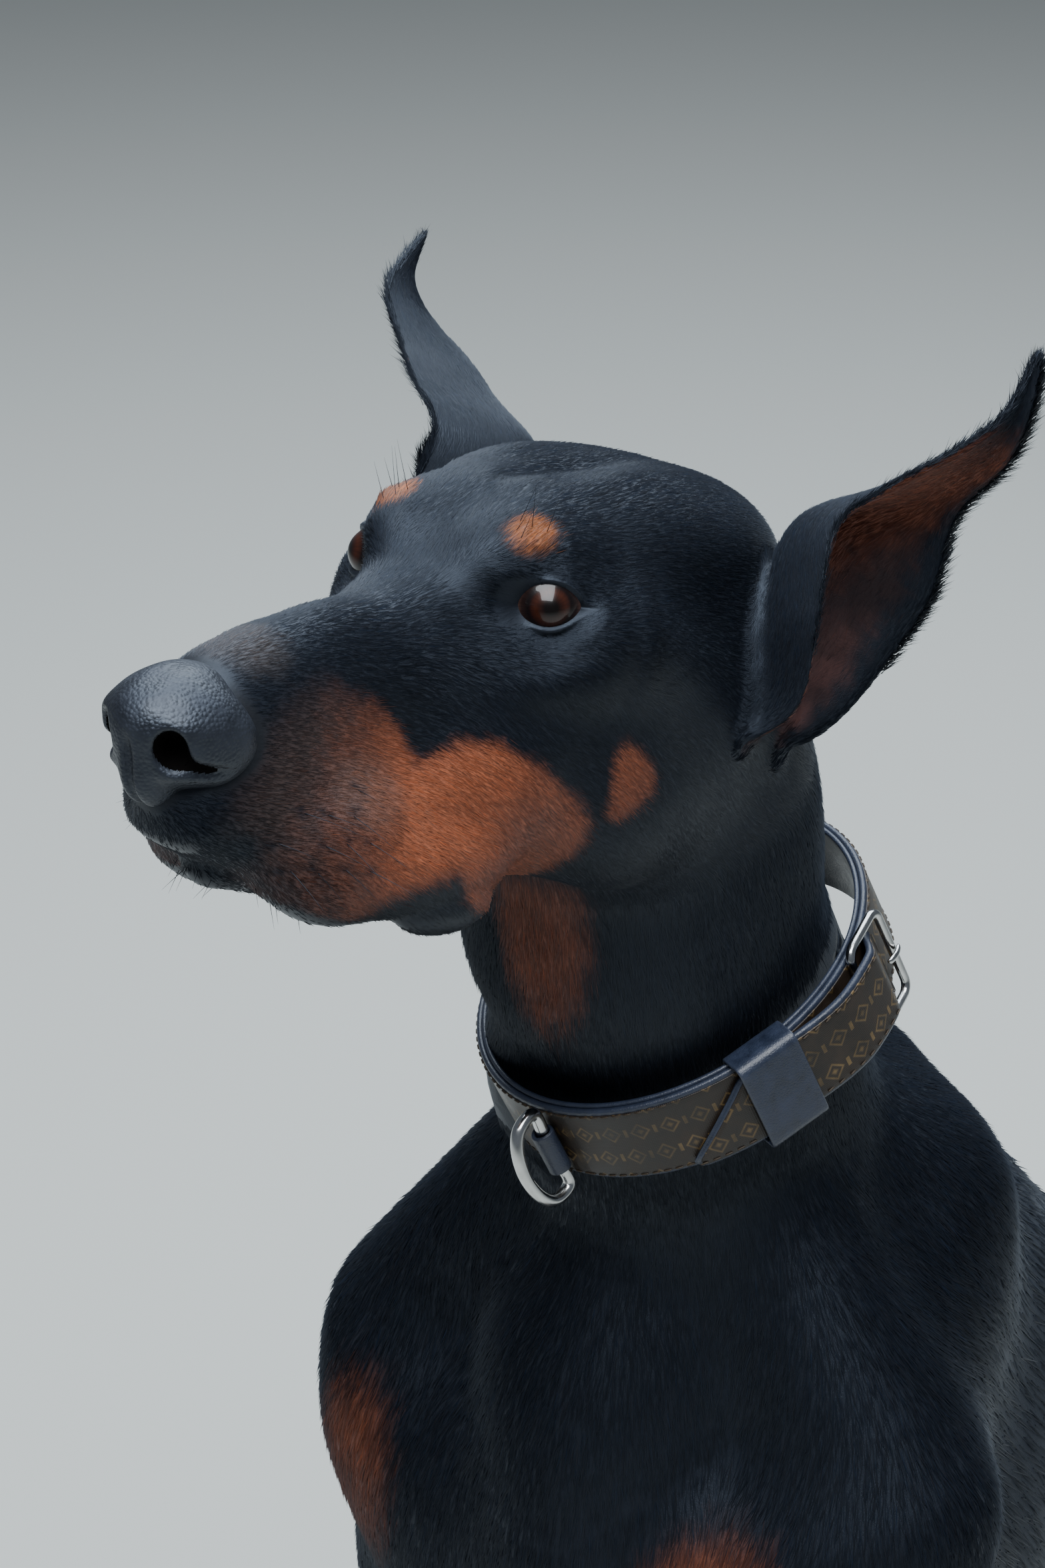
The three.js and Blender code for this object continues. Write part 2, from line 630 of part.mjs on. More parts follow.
const down = [0, 0, -1];
const PASTERN_CUT = 66;
const FOREPAW_Y = -54;
const HINDPAW_Y = 112;
const claw = (x, y) => {
  const cone = new THREE.ConeGeometry(3.6, 14, 6);
  cone.rotateX(degrees(-112));
  return solid(cone.translate(x, y, 12));
};
const claws = (x, y) => TOES.map(({ across, reach, size }) => claw(x + across, y - 34 - reach - size));

for (const [side, s] of [['left', 1], ['right', -1]]) {
  const legHoops = spine([
    bodyKey([s * 92, -22, 412], [0, 0.1, -1]),
    bodyKey([s * 91, -6, 348], down),
    bodyKey([s * 85, -20, 235], down),
    bodyKey([s * foreX, -28, 130], down),
    bodyKey([s * foreX, -39, PASTERN_CUT + GAP], down),
  ], 11, { roundStart: 3 });
  const leg = solid(wrap(legHoops, 14, bodyLeft, skin(body(forelegMasses(s)))));
  place(`foreleg_${side}`, surface(leg.subtract(torsoRoom)), 'black_coat');

  const pawSkin = skin(body(forelegMasses(s), pawMasses(s * foreX, FOREPAW_Y, 1)));
  const pawHoops = spine([
    bodyKey([s * foreX, -39, PASTERN_CUT], down),
    bodyKey([s * foreX, -44, 44], down),
    bodyKey([s * foreX, -58, 26], down),
    bodyKey([s * foreX, -60, 12], down),
    bodyKey([s * foreX, -60, FLOOR_PRESS / 2], down),
  ], 7);
  const paw = solid(wrap(pawHoops, 32, bodyLeft, pawSkin));
  place(`forepaw_${side}`, surface(pressed(joinAll([paw, ...claws(s * foreX, FOREPAW_Y)]))), 'rust_coat');

  const thighHoops = spine([
    bodyKey([s * 92, 290, 178], [s * 0.1, -1, 0]),
    bodyKey([s * 108, 200, 168], [s * 0.1, -1, 0]),
    bodyKey([s * 124, 112, 176], [s * 0.1, -1, 0]),
  ], 8, { roundStart: 4, roundEnd: 4 });
  const thighNet = (level) => solid(wrap(thighHoops, 18, bodyLeft, skin(body(thighMasses(s))), level));
  place(`thigh_${side}`, surface(thighNet(0).subtract(torsoRoom)), 'black_coat');
  const thighRoom = thighNet(GAP);

  const shankHoops = spine([
    bodyKey([s * 130, 104, 148], [0, 0.9, -0.4]),
    bodyKey([s * 122, 230, 80], [0, 0.93, -0.36]),
    bodyKey([s * 118, 318, 46], [0, 0.93, -0.36]),
  ], 9, { roundStart: 3, roundEnd: 2 });
  const shankNet = (level) => solid(wrap(shankHoops, 14, bodyLeft, skin(body(shankMasses(s))), level));
  const shankRoom = shankNet(GAP);
  place(`shank_${side}`, surface(cutAll(shankNet(0), [torsoRoom, thighRoom])), 'black_coat');

  const hindSkin = skin(body(metatarsusMasses(s), pawMasses(s * 124, HINDPAW_Y, 0.95)));
  const hindHoops = spine([
    bodyKey([s * 118, 322, 22], [0, -1, 0]),
    bodyKey([s * 121, 230, 20], [0, -1, 0]),
    bodyKey([s * 124, 150, 20], [0, -1, 0]),
    bodyKey([s * 124, 84, 14], [0, -1, 0]),
  ], 11, { roundStart: 3, roundEnd: 4 });
  const hind = solid(wrap(hindHoops, 22, bodyLeft, hindSkin));
  const hindWhole = pressed(joinAll([hind, ...claws(s * 124, HINDPAW_Y)]));
  place(`hind_foot_${side}`, surface(cutAll(hindWhole, [torsoRoom, thighRoom, shankRoom])), 'rust_coat');
}

const tailHoops = spine([
  bodyKey([0, 385, 150], [0, 1, -0.1]),
  bodyKey([0, 460, 139], [0, 1, -0.1]),
], 5, { roundEnd: 3 });
place('tail', surface(solid(wrap(tailHoops, 14, bodyLeft, skin(body(tailMasses)))).subtract(torsoRoom)), 'black_coat');

// Collar: a wide strap square to the neck, buckled on the dog's left, with its
// free end lying outside under a keeper, and a ring held by a small loop

const COLLAR_CENTRE = [6, -30, 718];
const COLLAR_DROP = 20;       // degrees that its front hangs down
const COLLAR_LEAN = -13;      // and that its left side rides up
const STRAP_WIDTH = 34;
const STRAP_THICKNESS = 4.5;
const STRAP_INSIDE = 75;      // radius front to back
const COLLAR_NARROWING = 0.91; // its width against its depth
const END_THICKNESS = 3.2;
const collarFrame = new THREE.Matrix4()
  .makeRotationFromEuler(new THREE.Euler(degrees(COLLAR_DROP), degrees(COLLAR_LEAN), 0, 'YXZ'))
  .setPosition(...COLLAR_CENTRE);
const narrowed = collarFrame.clone().scale(v3(COLLAR_NARROWING, 1, 1));
const strapOutside = STRAP_INSIDE + STRAP_THICKNESS;

// A frame on the collar: X away from the neck, Y along the strap, Z up its width,
// at an angle from the throat towards the dog's left
function onStrap(angle, radius) {
  const turn = degrees(angle - 90);
  const middle = v3(Math.cos(turn) * radius * COLLAR_NARROWING, Math.sin(turn) * radius, 0);
  const out = v3(Math.cos(turn) / COLLAR_NARROWING, Math.sin(turn), 0).normalize();
  const up = v3(0, 0, 1);
  const frame = new THREE.Matrix4().makeBasis(out, up.clone().cross(out), up);
  return collarFrame.clone().multiply(frame.setPosition(middle));
}

const strapProfile = [
  [STRAP_INSIDE, -STRAP_WIDTH / 2],
  [strapOutside, -STRAP_WIDTH / 2],
  [strapOutside, STRAP_WIDTH / 2],
  [STRAP_INSIDE, STRAP_WIDTH / 2],
  [STRAP_INSIDE, -STRAP_WIDTH / 2],
].map(([radius, height]) => new THREE.Vector2(radius, height));
const strapRing = new THREE.LatheGeometry(strapProfile, 44).rotateX(degrees(90));
place('collar_strap', surface(solid(strapRing, narrowed)), 'canvas');

// The free end: it comes up through the buckle and over its front bar, hangs slack,
// lies close under the keeper and is cut to a slanting tip
const END_ANGLES = [31, 105];  // degrees from the throat, tip and buckle
const SLACK = 5.2;            // most that it stands off the strap
const endPoint = (angle, layer) => {
  const rise = THREE.MathUtils.smoothstep(angle, 62, 86);
  const dip = THREE.MathUtils.smoothstep(angle, 97, END_ANGLES[1]);
  const stand = GAP + SLACK * rise * (1 - dip);
  const turn = degrees(angle - 90);
  const radius = strapOutside + stand + layer * END_THICKNESS;
  return new THREE.Vector2(Math.cos(turn) * radius, Math.sin(turn) * radius);
};
const END_POINTS = 24;
const endAngles = Array.from({ length: END_POINTS }, (_, k) => (
  THREE.MathUtils.lerp(...END_ANGLES, k / (END_POINTS - 1))
));
const endOutline = [
  ...endAngles.map((angle) => endPoint(angle, 1)),
  ...endAngles.reverse().map((angle) => endPoint(angle, 0)),
];
const END_WIDTH = STRAP_WIDTH - 3;
const endBand = new THREE.ExtrudeGeometry(new THREE.Shape(endOutline), {
  depth: END_WIDTH, bevelEnabled: false,
}).translate(0, 0, -END_WIDTH / 2);
const slant = new THREE.Shape([
  new THREE.Vector2(-40, -END_WIDTH / 2 + 3),
  new THREE.Vector2(0, -END_WIDTH / 2 + 3),
  new THREE.Vector2(34, END_WIDTH / 2 + 3),
  new THREE.Vector2(-40, END_WIDTH / 2 + 3),
]);
const flatOnStrap = new THREE.Matrix4().makeBasis(v3(0, 1, 0), v3(0, 0, 1), v3(1, 0, 0));
const slantCutter = new THREE.ExtrudeGeometry(slant, { depth: 30, bevelEnabled: false })
  .applyMatrix4(flatOnStrap)
  .translate(-15, 0, 0);
const endSolid = cutAll(solid(endBand, narrowed), [solid(slantCutter, onStrap(END_ANGLES[0], strapOutside))]);
place('collar_free_end', surface(endSolid), 'canvas');

// A frame of flat stock with a round-cornered window
function bandFrame(width, height, wall, depth, corner) {
  const outline = (w, h, r) => {
    const shape = new THREE.Shape();
    shape.moveTo(-w / 2 + r, -h / 2).lineTo(w / 2 - r, -h / 2);
    shape.absarc(w / 2 - r, -h / 2 + r, r, -Math.PI / 2, 0, false);
    shape.absarc(w / 2 - r, h / 2 - r, r, 0, Math.PI / 2, false);
    shape.absarc(-w / 2 + r, h / 2 - r, r, Math.PI / 2, Math.PI, false);
    shape.absarc(-w / 2 + r, -h / 2 + r, r, Math.PI, 1.5 * Math.PI, false);
    return shape;
  };
  const shape = outline(width, height, corner);
  shape.holes.push(outline(width - 2 * wall, height - 2 * wall, Math.max(corner - wall, 0.3)));
  const bar = new THREE.ExtrudeGeometry(shape, { depth, bevelEnabled: false, curveSegments: 3 });
  return bar.translate(0, 0, -depth / 2);
}
const KEEPER_ANGLE = 59;
const KEEPER_WIDTH = 24;
const KEEPER_WALL = 1.6;
const stack = STRAP_THICKNESS + GAP + END_THICKNESS;
const keeperGap = 1.1;
const keeper = bandFrame(
  stack + 2 * (keeperGap + KEEPER_WALL), STRAP_WIDTH + 2 * (0.5 + KEEPER_WALL), KEEPER_WALL, KEEPER_WIDTH, 2,
);
const acrossStrap = new THREE.Matrix4().makeBasis(v3(1, 0, 0), v3(0, 0, 1), v3(0, -1, 0));
const keeperSolid = solid(keeper.applyMatrix4(acrossStrap), onStrap(KEEPER_ANGLE, STRAP_INSIDE + stack / 2));
place('collar_keeper', surface(keeperSolid), 'strap_leather');

// Buckle: rails along both edges of the strap, a bar under the free end, a bar that
// stands a little off the strap behind it, and the tip of the prong on that bar
const BUCKLE_ANGLE = 102;
const BUCKLE = { length: 27, stock: 3.4, front: 1.5, rear: 4.6 };
const railHeight = STRAP_WIDTH / 2 + GAP + BUCKLE.stock / 2;
const rearward = (BUCKLE.length - BUCKLE.stock) / 2;
const lean = new THREE.Matrix4().makeRotationZ(-Math.atan2(BUCKLE.rear - BUCKLE.front, 2 * rearward));
const buckleOut = strapOutside + (BUCKLE.front + BUCKLE.rear) / 2;
const bar = (size, at) => solid(new THREE.BoxGeometry(...size).translate(...at));
const buckleBars = [
  ...sides.map((s) => bar([BUCKLE.stock, BUCKLE.length, BUCKLE.stock], [0, 0, s * railHeight])),
  ...sides.map((s) => bar([BUCKLE.stock, BUCKLE.stock, 2 * railHeight], [0, s * rearward, 0])),
  bar([2.4, 8, 3], [BUCKLE.stock / 2, rearward - 1, 0]),
];
const buckleSolid = joinAll(buckleBars)
  .transform(onStrap(BUCKLE_ANGLE, buckleOut).multiply(lean).elements);
place('collar_buckle', surface(buckleSolid), 'steel');

// Ring: a D of thick wire standing square off the strap, its bar in a sewn loop
const RING_ANGLE = -7;
const RING_WIRE = 2.4;
const LOOP = { radius: 4.2, hole: 2.8, length: 18 };
const ringPoints = [
  [0, -17], [0, -6], [0, 6], [0, 17], [8, 17.5], [13, 11], [15, 0], [13, -11], [8, -17.5],
].map(([out, height]) => v3(out, 0, height));
const ringPath = new THREE.CatmullRomCurve3(ringPoints, true);
const ring = new THREE.TubeGeometry(ringPath, 22, RING_WIRE, 6, true);
const loopOut = strapOutside + GAP + LOOP.radius;
place('collar_ring', surface(solid(ring, onStrap(RING_ANGLE, loopOut))), 'steel');
const loop = new THREE.Shape().absarc(0, 0, LOOP.radius, 0, 2 * Math.PI);
loop.holes.push(new THREE.Path().absarc(0, 0, LOOP.hole, 0, 2 * Math.PI, true));
const loopTube = new THREE.ExtrudeGeometry(loop, { depth: LOOP.length, bevelEnabled: false, curveSegments: 6 });
loopTube.translate(0, 0, -LOOP.length / 2);
place('collar_ring_loop', surface(solid(loopTube, onStrap(RING_ANGLE, loopOut))), 'strap_leather');

// The part stands on the middle of its own footprint
const bounds = new THREE.Box3().setFromObject(dog);
const middle = bounds.getCenter(v3());
dog.position.set(-middle.x, -middle.y, -bounds.min.z);

export default dog;
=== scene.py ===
# A sitting doberman pinscher with cropped ears and a docked tail, life size, in a
# buckled collar. Metres, +Z up; the dog faces -Y and its own left side is at +X.

import math

import bpy
import numpy as np
from mathutils import Euler, Matrix, Vector, kdtree


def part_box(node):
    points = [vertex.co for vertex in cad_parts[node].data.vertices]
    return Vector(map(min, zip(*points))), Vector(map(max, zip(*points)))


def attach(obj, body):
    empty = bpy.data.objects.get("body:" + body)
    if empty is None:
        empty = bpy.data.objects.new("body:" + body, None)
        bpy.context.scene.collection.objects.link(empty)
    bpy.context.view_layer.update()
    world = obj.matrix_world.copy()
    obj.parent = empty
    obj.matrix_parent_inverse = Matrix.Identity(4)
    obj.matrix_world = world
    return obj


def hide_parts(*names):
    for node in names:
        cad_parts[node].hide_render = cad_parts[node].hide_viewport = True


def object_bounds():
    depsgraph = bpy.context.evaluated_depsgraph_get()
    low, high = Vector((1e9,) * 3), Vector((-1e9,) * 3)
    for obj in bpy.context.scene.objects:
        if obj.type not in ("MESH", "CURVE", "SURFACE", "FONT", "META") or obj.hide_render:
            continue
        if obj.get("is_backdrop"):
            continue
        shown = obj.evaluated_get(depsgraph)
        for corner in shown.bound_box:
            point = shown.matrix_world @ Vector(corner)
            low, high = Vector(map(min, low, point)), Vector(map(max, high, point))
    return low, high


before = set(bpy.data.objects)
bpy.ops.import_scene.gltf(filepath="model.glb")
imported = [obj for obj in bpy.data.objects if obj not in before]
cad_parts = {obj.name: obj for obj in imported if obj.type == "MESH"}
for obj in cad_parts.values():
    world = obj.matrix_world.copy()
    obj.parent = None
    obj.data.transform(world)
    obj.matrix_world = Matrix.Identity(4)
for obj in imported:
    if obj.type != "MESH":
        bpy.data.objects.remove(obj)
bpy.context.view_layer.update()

# The flesh of the dog: bones and muscles, each a round mass that melts into the next.
# The head is measured in its own frame, X forward, Y to the dog's left and Z up, from
# the middle between the eyes; the body is measured from the floor. Both in millimetres.
MM = 0.001
SIDES = (1, -1)
HEAD_RAISE = math.radians(18.8)
HEAD_PLACE = np.array((0, -155, 922))
EYE_PLACE = (-4, 31, -1)
head_axes = np.array((
    (0, -math.cos(HEAD_RAISE), math.sin(HEAD_RAISE)),
    (1, 0, 0),
    (0, math.sin(HEAD_RAISE), math.cos(HEAD_RAISE)),
))
eye_corners = [corner for side in ("left", "right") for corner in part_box("eye_" + side)]
between_eyes = np.array(sum(eye_corners, Vector()) / 4)
head_origin = between_eyes - MM * (EYE_PLACE[0] * head_axes[0] + EYE_PLACE[2] * head_axes[2])
body_origin = head_origin - MM * HEAD_PLACE


def to_body(points):
    return (np.asarray(points) - body_origin) / MM


def from_body(points):
    return np.asarray(points) * MM + body_origin


def body_to_head(points):
    return (points - HEAD_PLACE) @ head_axes.T


def head_to_body(points):
    return np.asarray(points, float) @ head_axes + HEAD_PLACE


def on_left(head_points):
    """The same places on the dog's left side."""
    return np.where((False, True, False), np.abs(head_points), head_points)


def smooth(values, low, high):
    """Rises softly from 0 at the low value to 1 at the high one."""
    share = np.clip((np.asarray(values, float) - low) / (high - low), 0, 1)
    return share * share * (3 - 2 * share)


def fade(values, low, high):
    return 1 - smooth(values, low, high)


def between(start, end, slope_in, slope_out, share):
    """A point on the smooth curve from a start to an end that it leaves at two slopes."""
    two, three = share ** 2, share ** 3
    ends = (2 * three - 3 * two + 1) * start + (3 * two - 2 * three) * end
    return ends + (three - 2 * two + share) * slope_in + (three - two) * slope_out


def ball(centre, radii, blend, turn=(0, 0, 0)):
    """A mass: depth under its surface, middle, reach, and how widely it melts."""
    rotation = np.array(Euler([math.radians(angle) for angle in turn]).to_matrix())
    middle = np.array(centre, float)
    size = np.array(radii, float)

    def distance(points):
        near = (points - middle) @ rotation / size
        depth = np.linalg.norm(near, axis=1)
        return depth * (depth - 1) / np.maximum(np.linalg.norm(near / size, axis=1), 1e-9)

    return distance, middle, size.max(), blend


def limb(start, end, start_radius, end_radius, blend, width=1):
    """A mass that tapers from one round end to the other."""
    squeeze = np.array((1 / width, 1, 1))
    foot_of = np.array(start, float) * squeeze
    along_to = np.array(end, float) * squeeze
    length = np.linalg.norm(along_to - foot_of)
    axis = (along_to - foot_of) / length
    slope = (start_radius - end_radius) / length
    cosine = math.sqrt(1 - slope * slope)

    def distance(points):
        near = points * squeeze - foot_of
        along = near @ axis
        across = np.sqrt(np.maximum((near * near).sum(1) - along * along, 0))
        foot = along - across * slope / cosine
        side = across * cosine + along * slope - start_radius
        first = np.hypot(along, across) - start_radius
        last = np.hypot(along - length, across) - end_radius
        ends = np.where(foot <= 0, first, last)
        return np.where((foot > 0) & (foot < length), side, ends) * min(width, 1)

    middle = (np.array(start, float) + np.array(end, float)) / 2
    span = max(width, 1) * (length / 2 + max(start_radius, end_radius))
    return distance, middle, span, blend


# Forward, top, bottom, half width above and half width below, from the lips to the nape
HEAD_STATIONS = np.array((
    (131, -46, -72, 9, 11),
    (126, -34, -78, 14, 19),
    (114, -23, -83, 18, 25),
    (98, -17, -88, 21, 30),
    (72, -10, -99, 22, 36),
    (46, -4, -101, 24, 41),
    (26, 6, -99, 30, 43),
    (8, 20, -98, 38, 47),
    (-12, 33, -97, 46, 51),
    (-36, 36, -96, 51, 55),
    (-62, 35, -93, 49, 56),
    (-90, 30, -84, 45, 53),
    (-116, 22, -70, 37, 46),
    (-140, 9, -56, 27, 37),
), float)
SQUARENESS = 2.7
STATION_STEPS = 12


def station_curve():
    last = len(HEAD_STATIONS) - 1
    rows = []
    for i in range(last):
        here, there = HEAD_STATIONS[i], HEAD_STATIONS[i + 1]
        before, after = HEAD_STATIONS[max(i - 1, 0)], HEAD_STATIONS[min(i + 2, last)]
        span = here[0] - there[0]
        slope_in = span * (there - before) / (before[0] - there[0])
        slope_out = span * (after - here) / (here[0] - after[0])
        for share in np.linspace(0, 1, STATION_STEPS, endpoint=False):
            row = between(here, there, slope_in, slope_out, share)
            row[0] = here[0] - span * share
            rows.append(row)
    rows.append(HEAD_STATIONS[-1])
    return np.array(rows)[::-1].T


def skull(blend):
    """The mass of the head, through its stations."""
    curve = station_curve()
    rear, front = curve[0][0], curve[0][-1]

    def distance(points):
        forward = np.clip(points[:, 0], rear, front)
        top, bottom, above, below = (np.interp(forward, curve[0], row) for row in curve[1:])
        tall = (top - bottom) / 2
        level = (points[:, 2] - (top + bottom) / 2) / tall
        wide = below + (above - below) * smooth(level, -1, 1)
        spread = np.abs(points[:, 1] / wide) ** SQUARENESS + np.abs(level) ** SQUARENESS
        past = np.maximum(np.maximum(points[:, 0] - front, rear - points[:, 0]), 0)
        return (spread ** (1 / SQUARENESS) - 1) * np.minimum(wide, tall) * 0.9 + past

    return distance, np.array(((rear + front) / 2, 0, -30.0)), 150, blend


def both_sides(make):
    return [mass for s in SIDES for mass in make(s)]


head_masses = [skull(10), ball((114, 0, -36), (14, 14, 12.5), 8)] + both_sides(lambda s: [
    ball((-40, s * 35, -14), (38, 20, 16), 24, (0, 0, s * 8)),       # cheek bone
    ball((-66, s * 38, -58), (36, 19, 36), 24),                      # chewing muscle
    ball((-1, s * 25, 9), (17, 13, 9.5), 18, (0, 0, s * -25)),       # brow
    ball((66, s * 23, -80), (32, 14, 19), 16),                       # hanging upper lip
    ball((30, s * 33, -85), (30, 10, 12), 12),                       # and its rear
    ball((-78, s * 26, 16), (42, 24, 18), 20),                       # temple
])
jaw_masses = [
    limb((99, 0, -83), (10, 0, -82), 11, 22, 8),
    ball((22, 0, -91), (40, 42, 13.5), 8),
] + both_sides(lambda s: [ball((26, s * 34, -96), (24, 9, 9), 6)])   # fold of the lower lip
neck_masses = [
    limb((0, -66, 862), (0, -53, 795), 63, 62, 20, 0.95),
    limb((0, -53, 795), (5, -25, 700), 62, 61, 20, 0.92),
    limb((5, -25, 700), (5, -10, 655), 61, 60, 20, 0.9),
    limb((5, -10, 655), (0, 14, 580), 60, 91, 20, 0.92),
    ball((0, -60, 752), (54, 52, 48), 24),                           # throat
    ball((-26, -61, 690), (26, 31, 36), 20),                         # loose skin at the collar
]
torso_masses = [
    limb((0, 10, 545), (0, 58, 462), 94, 140, 40, 0.79),
    limb((0, 58, 462), (0, 154, 382), 140, 128, 40, 220 / 276),
    limb((0, 154, 382), (0, 242, 288), 128, 98, 40, 0.86),
    limb((0, 242, 288), (0, 314, 187), 98, 96, 40, 1),
    limb((0, 314, 187), (0, 345, 86), 96, 90, 40, 1.1),
    ball((0, 58, 590), (42, 66, 40), 40, (40, 0, 0)),                # withers
    ball((0, -46, 520), (50, 70, 84), 40),                           # forechest
    limb((6, -62, 590), (12, -104, 500), 12, 17, 30),                # breastbone
] + both_sides(lambda s: [
    limb((s * 45, -27, 630), (s * 103, -38, 534), 32, 42, 16),       # muscle of the neck
    limb((s * 54, 52, 600), (s * 80, -46, 498), 40, 48, 34),         # shoulder blade
    limb((s * 80, -46, 498), (s * 90, -24, 402), 48, 47, 34),        # upper arm
    ball((s * 82, 30, 440), (42, 62, 78), 34),                       # long arm muscle
    ball((s * 42, -66, 466), (42, 44, 66), 34),                      # breast muscle
    ball((s * 58, 318, 168), (62, 80, 84), 40),                      # buttock
])
FORELEG_X, HINDPAW_X = 80, 124
foreleg_masses = both_sides(lambda s: [
    limb((s * 90, -26, 420), (s * 89, -8, 348), 46, 35, 20),
    limb((s * 89, -8, 348), (s * 84, -20, 235), 35, 27, 20),
    limb((s * 84, -20, 235), (s * FORELEG_X, -28, 132), 26, 19, 16),
    ball((s * FORELEG_X, -30, 124), (20.5, 21.5, 24), 12),           # wrist
    limb((s * FORELEG_X, -26, 124), (s * FORELEG_X, -40, 60), 18.5, 18.5, 12),
])
hind_masses = both_sides(lambda s: [
    limb((s * 84, 300, 190), (s * 124, 118, 178), 82, 52, 20),       # thigh
    ball((s * 104, 220, 150), (52, 110, 84), 20),
    ball((s * 128, 96, 178), (34, 36, 42), 16),                      # knee
    limb((s * 130, 100, 150), (s * 122, 230, 80), 44, 34, 10),       # shank
    limb((s * 122, 230, 80), (s * 118, 318, 44), 32, 20, 10),
    ball((s * 118, 330, 42), (19, 24, 24), 10),                      # hock
    ball((s * 118, 322, 34), (20, 26, 32), 10),
    limb((s * 118, 316, 26), (s * HINDPAW_X, 150, 22), 22, 19, 6, 1.1),
])
tail_masses = [limb((0, 380, 150), (0, 462, 138), 24, 12, 12)]

# Paws: how far to the side, how far back, and how wide
PAWS = ((FORELEG_X, -54, 1), (HINDPAW_X, 112, 0.95))
# Toes of a paw: how far to the side, how far ahead, and how thick
TOES = ((-24, 0, 12), (-9, 14, 13.5), (9, 14, 13.5), (24, 0, 12))
TOE_REACH = 32


def paw_masses(x, y, spread):
    toes = [
        limb((x + across * 0.72, y - 6, 24), (x + across, y - TOE_REACH - ahead, 11), size, size - 1, 4)
        for across, ahead, size in TOES
    ]
    return [ball((x, y + 6, 24), (26 * spread, 34, 24), 8)] + toes


paws = both_sides(lambda s: [mass for x, y, spread in PAWS for mass in paw_masses(s * x, y, spread)])
body_masses = neck_masses + torso_masses + foreleg_masses + hind_masses + paws + tail_masses

# Swellings and hollows of the head: centre, reach and height
head_swells = both_sides(lambda s: (
    ((20, s * 30, -4), (14, 12, 11), -2.5),                          # corner below the brow
    ((44, s * 32, -42), (26, 14, 16), -3),                           # hollow of the muzzle
    ((-14, s * 50, 14), (16, 14, 10), -3),                           # behind the brow
    ((18, s * 36, 11), (13, 8, 6), -3.0),                            # hollow under the brow
    ((11, s * 36, 13.5), (14, 8, 3.5), -2.4),                        # fold over the upper lid
    ((0, s * 42, -12), (16, 10, 7), -2.8),                           # soft skin below the eye
    ((12, s * 44, -24), (24, 12, 6), 0.4),                           # ridge below the eye
    ((-2, s * 46, -34), (20, 14, 7), -1.2),                          # groove under it
    ((-22, s * 50, -12), (5, 12, 12), -1.0),                         # creases behind the eye
    ((-30, s * 50, -8), (4, 12, 14), 0.8),
    ((86, s * 20, -44), (18, 10, 8), -1.0),                          # side of the bridge
    ((116, s * 19, -40), (9, 7, 12), 1.3),                           # flesh beside the nose
    ((-50, s * 22, 40), (34, 7, 12), 1.2),                           # muscle over the skull
)) + [
    ((-50, 0, 40), (44, 5, 14), -2.8),                               # furrow of the skull
    ((102, 0, -20), (20, 14, 14), 2.7),                              # bridge behind the nose
    ((70, 0, -9), (26, 15, 14), 1.6),                                # and further back
]
# A depth far outside every mass, and how near a mass has to be to count at a point
FAR = 1e3
MARGIN = 45
JAW_BLEND = 2.0
# How far the flesh is pressed flat by the floor, and how deep the hide lies in the coat
FLOOR_PRESS = 2.5
COAT_DEPTH = 1.2


def melt(a, b, blend):
    share = np.maximum(blend - np.abs(a - b), 0) / blend
    return np.minimum(a, b) - share * share * blend / 4


class Flesh:
    """Depth of points under the skin, negative inside, for points that move only a little."""

    def __init__(self, points):
        self.count = len(points)
        head_points = body_to_head(points)
        self.head = self.near(head_masses, head_points)
        self.jaw = self.near(jaw_masses, head_points)
        self.body = self.near(body_masses, points)

    def near(self, masses, points):
        close = []
        for distance, middle, reach, blend in masses:
            gap = np.linalg.norm(points - middle, axis=1) - reach
            close.append((distance, np.nonzero(gap < MARGIN)[0], blend))
        return close

    def pile(self, depth, close, points):
        for distance, picked, blend in close:
            if len(picked):
                depth[picked] = melt(depth[picked], distance(points[picked]), blend)
        return depth

    def depth(self, points):
        head_points = body_to_head(points)
        depth = self.pile(np.full(self.count, FAR), self.head, head_points)
        for centre, reach, height in head_swells:
            offset = (head_points - np.array(centre)) / np.array(reach)
            depth -= height * np.exp(-(offset * offset).sum(1))
        depth = self.pile(depth, self.body, points)
        jaw = self.pile(np.full(self.count, FAR), self.jaw, head_points)
        depth = melt(depth, jaw, JAW_BLEND)
        return np.maximum(depth, -points[:, 2] + FLOOR_PRESS)


def settle(points, depth_at, level, rounds=4):
    """Walks points along the slope of a depth until they lie at that level."""
    step = 0.4
    longest = 4
    for _ in range(rounds):
        depth = depth_at(points) - level
        slope = np.stack([
            depth_at(points + step * axis) - depth_at(points - step * axis)
            for axis in np.eye(3)
        ], axis=1) / (2 * step)
        move = slope * (depth / np.maximum((slope * slope).sum(1), 0.2))[:, None]
        length = np.linalg.norm(move, axis=1)
        points = points - move * np.minimum(1, longest / np.maximum(length, 1e-9))[:, None]
    return points


# The skin: one hide from nose to tail. It is laid over the flesh of each named part,
# fine on the head and coarser behind the collar, and the two meet under the strap.
COLLAR_CENTRE = Vector((6, -30, 718))
COLLAR_DROP = math.radians(20)
COLLAR_LEAN = math.radians(-13)
HEAD_VOXEL, BODY_VOXEL = 2.35, 7.0
HEAD_SWELL, BODY_SWELL = 0.6, 1.5
SAME_PLACE = 0.00001
PAW_TOP = 75
EYE_REACHES = (25, 19)
collar_turn = Matrix.Rotation(COLLAR_LEAN, 3, "Y") @ Matrix.Rotation(COLLAR_DROP, 3, "X")
collar_facing = collar_turn @ Vector((0, 0, 1))
collar_middle = Vector(from_body(COLLAR_CENTRE))


